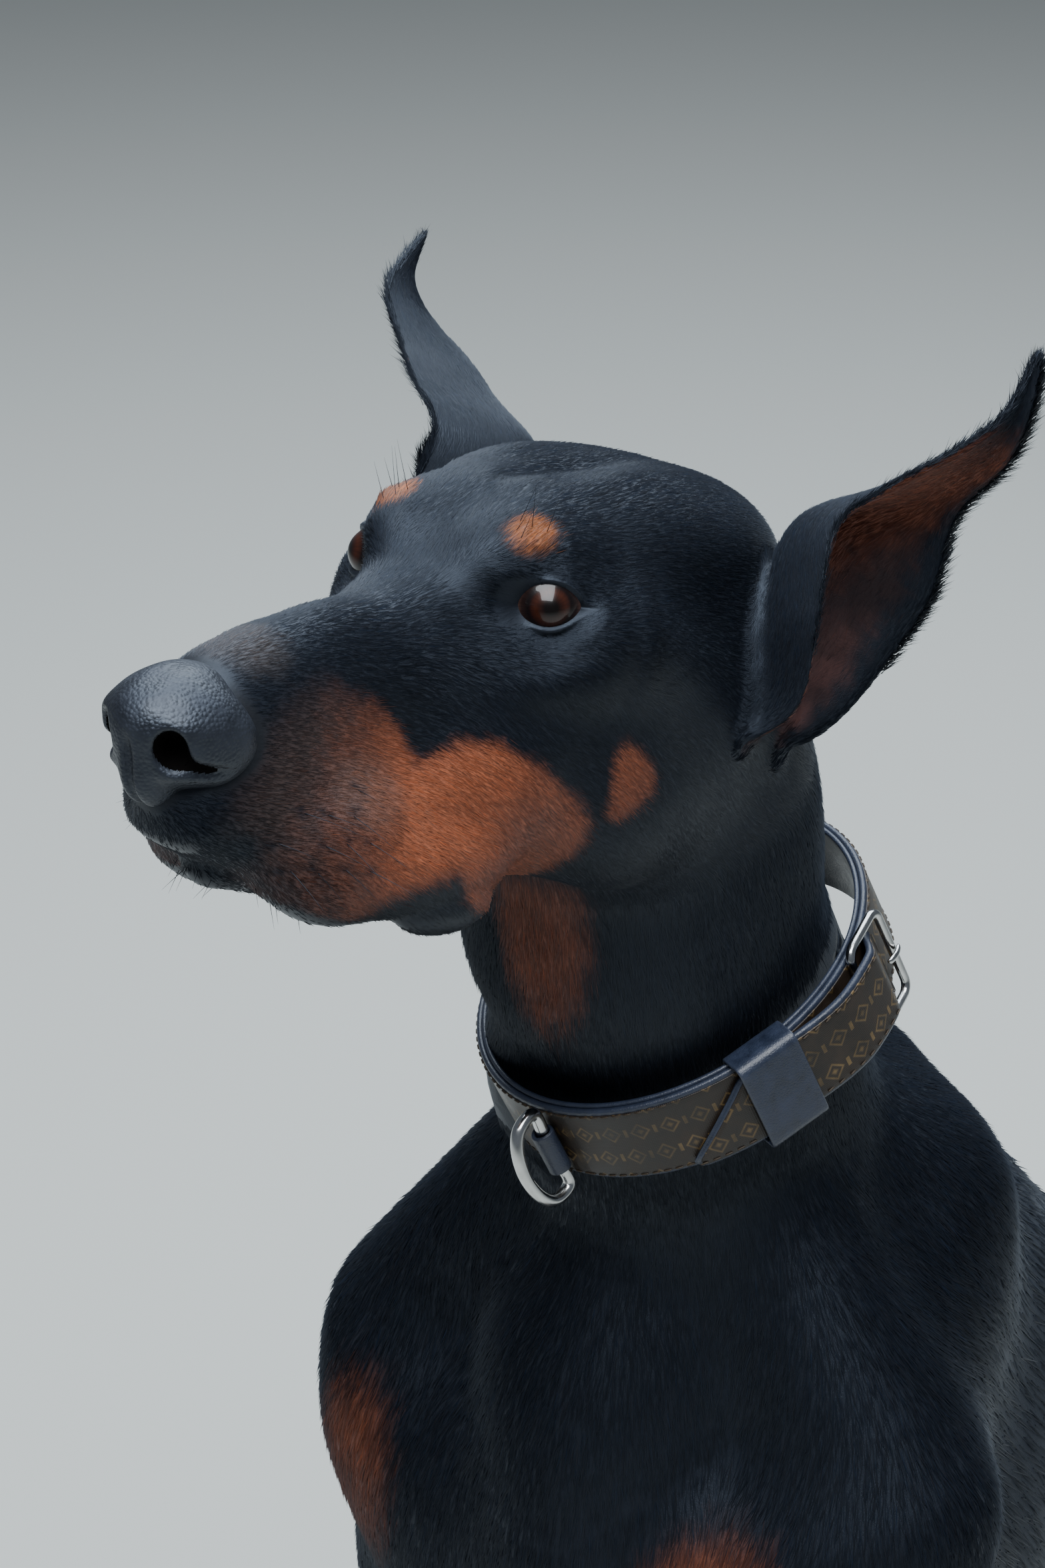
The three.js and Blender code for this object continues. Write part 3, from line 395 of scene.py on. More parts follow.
def read(items, key, width=1, kind=float):
    """One value, or a row of them, of every item in a list of a mesh."""
    values = np.empty(len(items) * width, kind)
    items.foreach_get(key, values)
    return values.reshape(-1, width) if width > 1 else values


def points_of(piece):
    return read(piece.data.vertices, "co", 3)


def set_points(piece, points):
    piece.data.vertices.foreach_set("co", np.asarray(points, float).ravel())
    piece.data.update()


def activate(piece):
    bpy.ops.object.select_all(action="DESELECT")
    piece.select_set(True)
    bpy.context.view_layer.objects.active = piece


def edit(piece, *steps):
    """Carries out steps of edit mode, each an operator and its settings, on a whole mesh."""
    activate(piece)
    bpy.ops.object.mode_set(mode="EDIT")
    bpy.ops.mesh.select_all(action="SELECT")
    for operator, settings in steps:
        operator(**settings)
    bpy.ops.object.mode_set(mode="OBJECT")


def link(name, mesh):
    piece = bpy.data.objects.new(name, mesh)
    bpy.context.scene.collection.objects.link(piece)
    return piece


def join(name, pieces):
    activate(pieces[0])
    for piece in pieces:
        piece.select_set(True)
    if len(pieces) > 1:
        bpy.ops.object.join()
    whole = bpy.context.view_layer.objects.active
    whole.name = name
    return whole


def swollen(node, swelling):
    """A copy of a node's solid, closed and moved outwards."""
    piece = link(node + "_copy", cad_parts[node].data.copy())
    edit(
        piece,
        (bpy.ops.mesh.remove_doubles, {"threshold": SAME_PLACE}),
        (bpy.ops.transform.shrink_fatten, {"value": swelling * MM}),
    )
    return piece


def apply_remesh(piece, voxel):
    activate(piece)
    remesh = piece.modifiers.new("Hide", "REMESH")
    remesh.mode = "VOXEL"
    remesh.voxel_size = voxel * MM
    remesh.use_smooth_shade = True
    bpy.ops.object.modifier_apply(modifier=remesh.name)


def half_skin(name, nodes, swelling, voxel, facing):
    """One hide over some nodes, cut off at the middle of the collar."""
    half = join(name, [swollen(node, swelling) for node in nodes])
    apply_remesh(half, voxel)
    cut = {"plane_co": collar_middle, "plane_no": facing, "clear_inner": True}
    edit(half, (bpy.ops.mesh.bisect, cut))
    return half


def subdivide_where(piece, chosen):
    activate(piece)
    bpy.ops.object.mode_set(mode="EDIT")
    bpy.ops.mesh.select_all(action="DESELECT")
    bpy.ops.object.mode_set(mode="OBJECT")
    bpy.context.tool_settings.mesh_select_mode = (False, False, True)
    picked = chosen(to_body(read(piece.data.polygons, "center", 3)))
    piece.data.polygons.foreach_set("select", picked)
    bpy.ops.object.mode_set(mode="EDIT")
    bpy.ops.mesh.subdivide(number_cuts=1, quadcorner="INNERVERT")
    bpy.ops.object.mode_set(mode="OBJECT")


def on_paws(points):
    ahead_or_outside = (points[:, 1] < 140) | (np.abs(points[:, 0]) > 95)
    return (points[:, 2] < PAW_TOP) & ahead_or_outside


def from_eye(points):
    """How far points of the body lie from the nearer eye."""
    return np.linalg.norm(on_left(body_to_head(points)) - np.array(EYE_PLACE), axis=1)


head_nodes = ["head", "nose", "eye_left", "eye_right", "lower_jaw", "neck"]
rear_nodes = ["neck", "torso", "tail"] + [
    part + "_" + side for side in ("left", "right")
    for part in ("foreleg", "forepaw", "thigh", "shank", "hind_foot")
]
fore_skin = half_skin("fore_skin", head_nodes, HEAD_SWELL, HEAD_VOXEL, collar_facing)
rear_skin = half_skin("rear_skin", rear_nodes, BODY_SWELL, BODY_VOXEL, -collar_facing)
subdivide_where(rear_skin, on_paws)
skin = join("skin", [rear_skin, fore_skin])
activate(skin)
bpy.ops.object.mode_set(mode="EDIT")
bpy.context.tool_settings.mesh_select_mode = (False, True, False)
bpy.ops.mesh.select_all(action="DESELECT")
bpy.ops.mesh.select_non_manifold(
    extend=False, use_wire=False, use_multi_face=False, use_non_contiguous=False)
bpy.ops.mesh.bridge_edge_loops()
bpy.ops.object.mode_set(mode="OBJECT")
for reach in EYE_REACHES:
    subdivide_where(skin, lambda points: from_eye(points) < reach)
places = to_body(points_of(skin))
places = settle(places, Flesh(places).depth, -COAT_DEPTH)

# Eyelids: soft skin that hugs the ball round an almond opening, with a wet rim, a crease
# above and a bag below. The tear corner lies ahead.
EYE_RADIUS = 11.5
LID_PLANE = math.radians(38)
LID_SLANT = math.radians(6)
LID_LIFT = 1.2
LID_REACH = 30
HALF_OPENING = 11.9
UPPER_LID, LOWER_LID = 7.8, 6.4
# Distance from the opening's edge, and height of the skin over the ball there
LID_SECTION = np.array((
    (-4, -2.4), (-0.4, -2.0), (0, -0.6), (0.25, 0.45), (0.6, 1.1), (1.2, 1.45), (2.4, 1.35),
    (3.0, 0.95), (3.5, 0.95), (4.4, 1.5), (6.0, 1.9), (9.0, 2.2),
)).T


def eye_axes(s):
    out = np.array((math.cos(LID_PLANE), math.sin(LID_PLANE) * s, 0))
    corner = np.array((-math.sin(LID_PLANE), math.cos(LID_PLANE) * s, 0)) * math.cos(LID_SLANT)
    corner[2] = math.sin(LID_SLANT)
    return np.array((out, corner, np.cross(out, corner) * s))


def lid_gap(across, over):
    """Distance from the almond's edge, negative in the opening."""
    gaps = []
    for rise, way in ((UPPER_LID, 1), (LOWER_LID, -1)):
        arc = (HALF_OPENING ** 2 + rise ** 2) / (2 * rise)
        gaps.append(np.hypot(across, over - way * (rise - arc)) - arc)
    return np.maximum(*gaps)


def eye_view(points, s):
    """Distance and direction from the eye's middle, and gaps from the lids' edge, along
    the ball and flat."""
    centre = np.array(EYE_PLACE) * (1, s, 1)
    local = (body_to_head(points) - centre) @ eye_axes(s).T
    reach = np.linalg.norm(local, axis=1)
    ways = local / np.maximum(reach, 1e-9)[:, None]
    on_ball = ways[:, 1:] * (EYE_RADIUS + LID_LIFT)
    angle = np.arccos(np.clip(ways[:, 0], -1, 1))
    gap = lid_gap(*on_ball.T)
    # Past the corners that gap stops growing, so the gap along the ball takes over
    round_gap = lid_gap(*(on_ball * (angle / np.maximum(np.sin(angle), 1e-6))[:, None]).T)
    past = np.where(ways[:, 0] > 0, smooth(gap, 0.2, 0.75), 1)
    return reach, ways, gap + (round_gap - gap) * past, lid_gap(*local[:, 1:].T)


for s in SIDES:
    reach, ways, gap, flat_gap = eye_view(places, s)
    height = EYE_RADIUS + np.interp(gap, *LID_SECTION)
    natural = smooth(flat_gap, 2.0, 7.5)
    wanted = height + (reach - height) * natural
    near = (reach < LID_REACH) & (ways[:, 0] > 0)
    moved = (wanted - reach)[:, None] * (ways @ eye_axes(s) @ head_axes)
    places[near] += moved[near]
set_points(skin, from_body(places))

# Cropped ears, as leaf-shaped cups of thin gristle that grow out of the head: front edge,
# rear edge, depth and lie of the cup. The right one is pricked more to the front, stands
# straighter and is the deeper cup. Ridges of gristle run up inside.
EAR_STATIONS = (
    ((-88, 48, -52), (-112, 50, -57), 8, (-0.6, -0.8, 0)),
    ((-84, 80, -27), (-127, 72, -36), 32, (-0.2, -0.98, 0)),
    ((-79, 85, 4), (-136, 86, -5), 36, (-0.15, -0.98, 0.05)),
    ((-83, 82, 34), (-136, 94, 16), 31, (-0.3, -0.95, 0.05)),
    ((-90, 93, 50), (-133, 98, 41), 19, (-0.8, -0.6, 0.05)),
    ((-102, 108, 66), (-128, 114, 62), 9, (-0.85, -0.5, 0.1)),
    ((-110, 118, 80), (-123, 121, 80), 5, (-0.85, -0.5, 0.2)),
    ((-117, 121, 99), (-119.5, 122.5, 99.5), 2, (-0.6, -0.55, 0.55)),
)
EAR_RINGS, EAR_ARC = 76, 27
EAR_EASE = 1.5
EAR_WALL = 3.2
EAR_ROOT = np.array((-100, -50, 0))
# Ridges in the cup: where across it, how that drifts towards the tip, width and height
EAR_RIDGES = (
    (0.2, 0.35, 0.03, 3.4), (0.36, 0.5, 0.04, 3.4), (0.6, 0.1, 0.035, 4.0), (0.8, 0.05, 0.03, 2.2),
)
# How far from the line where ear and head meet the skin is softened, and how often
EAR_BLEND_REACH = 22
EAR_BLEND_ROUNDS = 50
EAR_BLEND_CHUNKS = 60


def through(values, places):
    """Points on a smooth curve through the values, at places counted in values."""
    values = np.array(values, float)
    last = len(values) - 1
    result = []
    for place in places:
        i = min(int(place), last - 1)
        before = values[i - 1] if i else 2 * values[0] - values[1]
        after = values[i + 2] if i + 2 <= last else 2 * values[last] - values[last - 1]
        slope_in, slope_out = (values[i + 1] - before) / 2, (after - values[i]) / 2
        result.append(between(values[i], values[i + 1], slope_in, slope_out, place - i))
    return np.array(result)


def pricked(loop, middle):
    """A ring of the right ear, turned and widened."""
    height = max(middle + 20, 0) / 100
    turn = math.radians(24 - 19 * smooth(height, 0.4, 0.8))
    wide = 1.1 + 0.4 * smooth(height, 0.5, 0.9)
    loop = loop[0] + (loop - loop[0]) * (wide, 1.25, 1)
    loop = (loop - EAR_ROOT) @ np.array(Matrix.Rotation(turn, 3, "Z")).T + EAR_ROOT
    ahead = 5 * smooth(height, 0.5, 0.75) - 16 * smooth(height, 0.95, 1.3)
    inwards = 4 * smooth(height, 0, 0.4) * fade(height, 0.6, 0.9)
    return loop + (ahead, inwards, -6 * height ** 2)


def ear(s):
    """Points in the head's frame, ring by ring, and for each its share across, place and side."""
    places = np.linspace(0, 1, EAR_RINGS)
    stations = places * (len(EAR_STATIONS) - 1)
    front, rear, bulge = (through([row[k] for row in EAR_STATIONS], stations) for k in (0, 1, 3))
    depth = through([(row[2],) for row in EAR_STATIONS], stations)[:, 0]
    bulge /= np.linalg.norm(bulge, axis=1)[:, None]
    share = (1 - np.cos(math.pi * np.linspace(0, 1, EAR_ARC))) / 2
    sag = np.sin(math.pi * share) ** 0.8
    rim = np.clip(np.minimum(share, 1 - share) / 0.04, 0, 1)
    round_rim = np.sqrt(rim * (2 - rim))
    round_share = np.concatenate([share, share[1:-1][::-1]])
    inside = np.repeat((0.0, 1.0), (EAR_ARC, EAR_ARC - 2))
    points, facts = [], []
    for ring, place in enumerate(places):
        chord = rear[ring] - front[ring]
        outer = front[ring] + chord * (share ** EAR_EASE)[:, None]
        outer = outer + bulge[ring] * (depth[ring] * sag)[:, None]
        inwards = np.cross(np.gradient(outer, axis=0), np.cross(chord, bulge[ring]))
        inwards /= np.linalg.norm(inwards, axis=1)[:, None]
        wall = np.full(EAR_ARC, min(EAR_WALL, np.linalg.norm(chord) * 0.15))
        for across, drift, width, height in EAR_RIDGES:
            ridge = height * smooth(place, 0.03, 0.1) * fade(place, 0.26, 0.55)
            ridge *= 1 + 0.5 * math.sin(place * 34 + across * 30)
            wall += ridge * np.exp(-(((share - across - drift * place) / width) ** 2))
        inner = outer + inwards * (wall * round_rim)[:, None]
        loop = np.concatenate([outer, inner[1:-1][::-1]]) * (1, s, 1)
        points.append(pricked(loop, (front[ring][2] + rear[ring][2]) / 2) if s < 0 else loop)
        facts.append(np.stack(np.broadcast_arrays(round_share, place, inside, s), axis=1))
    return np.array(points), np.array(facts, float)


def map_points(piece, name, plan):
    """A flat place for each point of a piece, kept as a UV map."""
    corners = read(piece.data.loops, "vertex_index", kind=int)
    flat = plan.reshape(-1, 2)[corners]
    piece.data.uv_layers.new(name=name).data.foreach_set("uv", flat.ravel())


OUTWARDS = (bpy.ops.mesh.normals_make_consistent, {"inside": False})


def loft(name, lofts, closed=False, plan=None):
    """Skins over rows of rings of points, in one mesh; a closed row has no end caps."""
    points = np.concatenate([rings.reshape(-1, 3) for rings in lofts])
    count, around = lofts[0].shape[:2]
    faces = []
    for start in range(0, len(points), count * around):
        for ring in range(count if closed else count - 1):
            here, there = start + ring * around, start + (ring + 1) % count * around
            for i in range(around):
                step = (i + 1) % around
                faces.append((here + i, here + step, there + step, there + i))
        if not closed:
            faces.append(tuple(start + i for i in reversed(range(around))))
            faces.append(tuple(start + (count - 1) * around + i for i in range(around)))
    mesh = bpy.data.meshes.new(name)
    mesh.from_pydata([tuple(point) for point in from_body(points)], [], faces)
    piece = link(name, mesh)
    if plan is not None:
        map_points(piece, "Facing", plan)
    edit(piece, OUTWARDS)
    bpy.ops.object.shade_smooth()
    return piece


def neighbours_mean(points, pairs):
    total = np.stack([
        np.bincount(pairs[:, 0], points[pairs[:, 1], k], len(points))
        + np.bincount(pairs[:, 1], points[pairs[:, 0], k], len(points)) for k in range(3)
    ], axis=1)
    count = np.maximum(np.bincount(pairs.ravel(), minlength=len(points)), 1)
    return total / count[:, None]


ears = {s: ear(s) for s in SIDES}
# Faces of the head keep the first of two marks through the union, faces of an ear the second
face_marks = [bpy.data.materials.new(name) for name in ("of_head", "of_ear")]
skin.data.materials.clear()
for mark in face_marks:
    skin.data.materials.append(mark)
for s in SIDES:
    grid = ears[s][0]
    form = loft("ear_form", [head_to_body(grid.reshape(-1, 3)).reshape(grid.shape)])
    for mark in face_marks:
        form.data.materials.append(mark)
    form.data.polygons.foreach_set("material_index", np.ones(len(form.data.polygons), int))
    activate(skin)
    union = skin.modifiers.new("Ear", "BOOLEAN")
    union.operation = "UNION"
    union.solver = "MANIFOLD"
    union.object = form
    bpy.ops.object.modifier_apply(modifier=union.name)
    bpy.data.objects.remove(form)

face_mark = read(skin.data.polygons, "material_index", kind=int)
corner_mark = np.repeat(face_mark, read(skin.data.polygons, "loop_total", kind=int))
corners = read(skin.data.loops, "vertex_index", kind=int)
places = to_body(points_of(skin))
on_ear = np.bincount(corners, corner_mark, len(places)) > 0
on_head = np.bincount(corners, 1 - corner_mark, len(places)) > 0
meeting = places[on_ear & on_head]
low, high = meeting.min(0) - EAR_BLEND_REACH, meeting.max(0) + EAR_BLEND_REACH
close = np.nonzero(((places > low) & (places < high)).all(1))[0]
apart = np.full(len(places), FAR)
for chunk in np.array_split(close, EAR_BLEND_CHUNKS):
    apart[chunk] = np.linalg.norm(places[chunk, None] - meeting[None], axis=2).min(1)
softness = 0.8 * np.where(on_ear, fade(apart, 1, 6), fade(apart, 2, 10))
pairs = read(skin.data.edges, "vertices", 2, int)
for _ in range(EAR_BLEND_ROUNDS):
    places = places + softness[:, None] * (neighbours_mean(places, pairs) - places)
set_points(skin, from_body(places))
skin.data.polygons.foreach_set("material_index", np.zeros(len(skin.data.polygons), int))
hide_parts("head", "lower_jaw", "ear_left", "ear_right", *rear_nodes)
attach(skin, "root")
activate(skin)
bpy.ops.object.shade_smooth()

# Eyes: wet balls with a dark red-brown iris behind a clear, bulging cornea, set in the
# lids. Only the part between the lids shows.
CORNEA_BULGE = 1.1
CORNEA_EDGE = math.radians(34)
GAZE = math.radians(42)
GAZE_RISE = 0.03
EYE_SEGMENTS = 64
# Share of the way from the front of the eye to its back, and the colour there
IRIS_RINGS = (
    (0.0, (0.0022, 0.001, 0.0008)), (0.026, (0.0022, 0.001, 0.0008)), (0.042, (0.013, 0.0036, 0.002)),
    (0.065, (0.029, 0.0075, 0.0036)), (0.083, (0.02, 0.0055, 0.003)), (0.095, (0.005, 0.002, 0.002)),
    (0.105, (0.004, 0.002, 0.002)), (0.135, (0.016, 0.008, 0.007)), (0.18, (0.1, 0.05, 0.04)),
)


class Finish:
    """A material: values for the sockets of its shader, and nodes that feed them."""

    def __init__(self, name, **sockets):
        self.material = bpy.data.materials.new(name)
        self.material.use_nodes = True
        self.tree = self.material.node_tree
        self.feed(**sockets)

    def fill(self, node, values):
        """Gives sockets a value or another node's output; _2 is the third socket."""
        for key, value in values.items():
            socket = node.inputs[int(key[1:]) if key[1:].isdigit() else key.replace("_", " ")]
            if isinstance(value, bpy.types.NodeSocket):
                self.tree.links.new(value, socket)
            else:
                socket.default_value = value

    def feed(self, **values):
        self.fill(self.tree.nodes["Principled BSDF"], values)

    def add(self, kind, settings=None, out=0, **values):
        node = self.tree.nodes.new("ShaderNode" + kind)
        for key, value in (settings or {}).items():
            setattr(node, key, value)
        self.fill(node, values)
        return node.outputs[out]

    def attribute(self, name, out=0):
        return self.add("Attribute", {"attribute_name": name}, out)

    def place(self, squeeze=None):
        """Place on the piece in metres, squeezed where the pattern is to be long."""
        place = self.add("TexCoord", out=3)
        return place if squeeze is None else self.vector("MULTIPLY", place, squeeze)

    def vector(self, operation, first, second=(0, 0, 0), out=0):
        return self.add("VectorMath", {"operation": operation}, out, _0=first, _1=second)

    def math(self, operation, first, second=0.0):
        return self.add("Math", {"operation": operation}, _0=first, _1=second)

    def noise(self, scale, detail=2, roughness=0.5, at=None):
        at = self.place() if at is None else at
        return self.add("TexNoise", Vector=at, Scale=scale, Detail=detail, Roughness=roughness)

    def ramp(self, value, *stops):
        """Colours or greys between stops, each a place and what it has there."""
        node = self.tree.nodes.new("ShaderNodeValToRGB")
        while len(node.color_ramp.elements) < len(stops):
            node.color_ramp.elements.new(0.5)
        for element, (place, colour) in zip(node.color_ramp.elements, stops):
            element.position = place
            element.color = (*np.broadcast_to(colour, 3), 1)
        self.tree.links.new(value, node.inputs[0])
        return node.outputs[0]

    def mix(self, share, first, second, blend="MIX"):
        settings = {"data_type": "RGBA", "blend_type": blend}
        return self.add("Mix", settings, 2, _0=share, _6=first, _7=second)

    def bump(self, height, strength, depth, under=None):
        values = {"Height": height, "Strength": strength, "Distance": depth * MM}
        if under is not None:
            values["Normal"] = under
        return self.add("Bump", **values)

    def cover(self, piece):
        piece.data.materials.clear()
        piece.data.materials.append(self.material)


def unit(vectors):
    vectors = np.asarray(vectors, float)
    return vectors / np.maximum(np.linalg.norm(vectors, axis=-1, keepdims=True), 1e-9)


eye_wet = Finish(
    "eye_wet", Roughness=0.3, Coat_Weight=0.7, Coat_Roughness=0.015, Coat_IOR=1.4,
    Specular_IOR_Level=0.2)
eye_map = eye_wet.add("UVMap", {"uv_map": "EyeUV"})
from_pole = eye_wet.vector("SUBTRACT", eye_map, (0.5, 0.5, 0))
spoke = eye_wet.vector("MULTIPLY", eye_wet.vector("NORMALIZE", from_pole), (9, 9, 9))
fibre = eye_wet.ramp(eye_wet.noise(2.2, 4, at=spoke), (0.3, 0.45), (0.7, 1.5))
iris = eye_wet.ramp(eye_wet.vector("LENGTH", from_pole, out=1), *IRIS_RINGS)
eye_wet.feed(Base_Color=eye_wet.mix(0.8, iris, fibre, "MULTIPLY"))

for s, node in zip(SIDES, ("eye_left", "eye_right")):
    bpy.ops.object.select_all(action="DESELECT")
    bpy.ops.mesh.primitive_uv_sphere_add(
        segments=EYE_SEGMENTS, ring_count=EYE_SEGMENTS, radius=1)
    eye = bpy.context.active_object
    eye.name = node + "_ball"
    directions = unit(points_of(eye))
    polar = np.arccos(np.clip(directions[:, 2], -1, 1))
    radius = EYE_RADIUS + CORNEA_BULGE * np.maximum(1 - (polar / CORNEA_EDGE) ** 2, 0) ** 1.5
    gaze = unit((math.cos(GAZE), math.sin(GAZE) * s, GAZE_RISE))
    level = unit(np.cross((0, 0, 1), gaze))
    basis = np.array((level, np.cross(gaze, level), gaze))
    centre = np.array(EYE_PLACE) * (1, s, 1)
    set_points(eye, from_body(head_to_body(centre + (directions @ basis) * radius[:, None])))
    while eye.data.uv_layers:
        eye.data.uv_layers.remove(eye.data.uv_layers[0])
    map_points(eye, "EyeUV", unit(directions[:, :2]) * (polar / math.pi)[:, None] * 0.5 + 0.5)
    eye_wet.cover(eye)
    activate(eye)
    bpy.ops.object.shade_smooth()
    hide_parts(node)
    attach(eye, "root")

# Nose leather: bare black skin, pebbled, with deep comma-shaped nostrils that run out to
# the sides in a slit, and a groove down the front to the lip.
nose_masses = [
    ball((132, 0, -40.5), (18, 17, 14), 6),
    ball((132, 0, -52), (14, 9, 14), 6),
    ball((123, 0, -35), (16, 13, 11.5), 8),
] + both_sides(lambda s: [ball((126, s * 12, -44), (17, 9.5, 13), 6, (0, 0, s * -14))])
nostril_masses = both_sides(lambda s: [
    ball((146, s * 13, -46), (11, 5.2, 6.4), 3, (0, 0, s * 22)),
    limb((141, s * 15.5, -50.5), (122, s * 23.5, -52), 3.0, 2.0, 5),
])
# Swellings and dips of the leather: centre, reach and height, forward, sideways and up
NOSE_SWELLS = (
    ((138, 15, -38.5), (10, 4.5, 3.2), 0.9),                         # wing over the nostril
    ((140, 11, -54.5), (8, 5, 2.4), 0.8),                            # rim under it
)
GROOVE_DEPTH, DISH_DEPTH = 2.8, 0.7
REAR_SHRINK = 1.2
NOSTRIL_BLEND = 1.6
NOSE_VOXELS = (0.9, 0.65)


def melted(masses, points):
    depth = np.full(len(points), FAR)
    for distance, *_, blend in masses:
        depth = melt(depth, distance(points), blend)
    return depth


def nose_depth(points):
    forward, across, up = points.T
    depth = melted(nose_masses, points)
    groove = np.exp(-(across / 1.3) ** 2) * smooth(-up, 42, 50)
    depth = depth + GROOVE_DEPTH * groove * smooth(forward, 118, 126)
    for centre, reach, height in NOSE_SWELLS:
        offset = (on_left(points) - centre) / reach
        depth = depth - height * np.exp(-(offset * offset).sum(1))
    dish = np.exp(-(across / 4) ** 2 - ((forward - 138) / 12) ** 2) * smooth(up, -36, -28)
    depth = depth + DISH_DEPTH * dish + REAR_SHRINK * fade(forward, 110, 126)
    return -melt(-depth, melted(nostril_masses, points), NOSTRIL_BLEND)


nose_leather = swollen("nose", 0)
nose_leather.name = "nose_leather"
for voxel in NOSE_VOXELS:
    apply_remesh(nose_leather, voxel)
    at = settle(body_to_head(to_body(points_of(nose_leather))), nose_depth, 0, rounds=7)
    set_points(nose_leather, from_body(head_to_body(at)))
pebbled = Finish(
    "nose_leather", Roughness=0.4, Coat_Weight=0.1, Coat_Roughness=0.25, Specular_IOR_Level=0.5,
    Specular_Tint=(0.7, 0.82, 1, 1))
cells = pebbled.add("TexVoronoi", {"feature": "F1"}, Vector=pebbled.place(), Scale=820.0)
pebbles = pebbled.ramp(cells, (0.0, 1), (0.75, 0))
blotch = pebbled.noise(110, 3)
pebbled.feed(
    Base_Color=pebbled.ramp(blotch, (0.3, (0.006, 0.0068, 0.009)), (0.7, (0.014, 0.016, 0.022))),
    Roughness=pebbled.ramp(blotch, (0.35, 0.4), (0.65, 0.56)),
    Normal=pebbled.bump(pebbled.noise(2400, 3), 0.15, 0.15, pebbled.bump(pebbles, 0.7, 0.3)),
)
pebbled.cover(nose_leather)
# Inside the nostrils the colour is painted near-black and dull, as painted shade in the deep hollows
nostril_painted_shade = Finish("nostril_painted_shade", Specular_IOR_Level=0.05)
damp = nostril_painted_shade.noise(500)
nostril_painted_shade.feed(
    Base_Color=nostril_painted_shade.ramp(damp, (0.3, (0.0008, 0.0006, 0.0006)), (0.7, (0.002, 0.0015, 0.0015))),
    Roughness=nostril_painted_shade.ramp(damp, (0.3, 0.8), (0.7, 1)),
)
nose_leather.data.materials.append(nostril_painted_shade.material)
# The faces deep in the nostrils take this painted shade
centres = body_to_head(to_body(read(nose_leather.data.polygons, "center", 3)))
deep = (melted(nostril_masses, centres) < 0.8) & (melted(nose_masses, centres) < -1.3)
nose_leather.data.polygons.foreach_set("material_index", deep.astype(int))
activate(nose_leather)
bpy.ops.object.shade_smooth()
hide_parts("nose")
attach(nose_leather, "root")

# Claws: short blunt cones of dark horn, one on each toe, that grow out of the skin there
# and curve down to the floor.
CLAW_LENGTH = 13
CLAW_RADIUS = 3.3
CLAW_HEIGHT, CLAW_DROP = 13, 8.5
CLAW_SUNK = 4.5
CLAW_CLEAR = 0.6
claws = []
for s in SIDES:
    for paw_x, paw_y, _ in PAWS:
        for across, ahead, size in TOES:
            bpy.ops.object.select_all(action="DESELECT")
            bpy.ops.mesh.primitive_cylinder_add(vertices=14, radius=1, depth=1, end_fill_type="TRIFAN")
            claw = bpy.context.active_object
            edit(claw, (bpy.ops.mesh.subdivide, {"number_cuts": 5}))
            shape = points_of(claw)
            along = shape[:, 2] + 0.5
            thick = CLAW_RADIUS * (1 - 0.78 * along ** 1.6)
            toe_front = paw_y - TOE_REACH - ahead - size
            root = np.array((s * paw_x + across, toe_front + CLAW_SUNK, CLAW_HEIGHT))
            places = root + np.stack([
                shape[:, 0] * thick * 0.8,
                -along * CLAW_LENGTH,
                shape[:, 1] * thick - CLAW_DROP * along ** 1.9,
            ], axis=1)
            set_points(claw, from_body(np.maximum(places, (-FAR, -FAR, CLAW_CLEAR))))
            claws.append(claw)
claws = join("claws", claws)
edit(claws, OUTWARDS)
bpy.ops.object.shade_smooth()
horn = Finish("claw_horn", Roughness=0.38, Specular_IOR_Level=0.5)
grain = horn.noise(1400, 4, at=horn.place((1, 0.1, 1)))
horn.feed(
    Base_Color=horn.ramp(grain, (0.3, (0.012, 0.01, 0.009)), (0.7, (0.04, 0.032, 0.027))),
    Normal=horn.bump(grain, 0.4, 0.2),
)
horn.cover(claws)
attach(claws, "root")

# The coat's colours: short black hair over the whole dog, and rust-red marks with a soft
# edge on the muzzle, cheeks, brows, throat, chest, legs and under the tail. The lips, the
# lids' rims and the cups of the ears are nearly bare skin. Colours are linear.
BLACK = np.array((0.0046, 0.0056, 0.0086))
RUST = np.array((0.205, 0.063, 0.028))
BROW_RUST = RUST * (1, 1, 0.45)
GREY_BROWN = np.array((0.07, 0.055, 0.047))
BARE_BLACK = np.array((0.008, 0.008, 0.009))
CUP_SKIN = np.array((0.09, 0.04, 0.034))
CUP_DARK = np.array((0.02, 0.0095, 0.0078))
# Outlines on the side of the head, forward and up
MUZZLE_MARK = (
    (106, -42), (94, -33), (82, -30), (65, -33), (54, -40), (46, -50), (37, -48), (30, -44), (20, -43),
    (8, -47), (-3, -53), (-16, -60), (-23, -67), (-26, -76), (-26, -100), (10, -100), (25, -91), (34, -82),
    (47, -84), (60, -88), (70, -97), (87, -94), (98, -89), (106, -83), (116, -72), (116, -60), (112, -50),
)
CHEEK_MARK = ((-26, -45), (-29, -40), (-35, -43), (-43, -50), (-44, -57), (-39, -62), (-33, -67), (-28, -65))
LIP_LINE = (
    (126, -76), (118, -85), (100, -92), (85, -96), (72, -99), (55, -99), (40, -97), (26, -98), (10, -99),
)
WHISKER_ROOTS = (
    (97, 28, -62), (89, 31, -62), (79, 34, -62), (75, 30, -55), (105, 26, -72), (91, 34, -71),
    (83, 36, -70), (74, 37, -70), (93, 34, -79), (83, 37, -78), (101, 30, -80), (73, 38, -79),
)
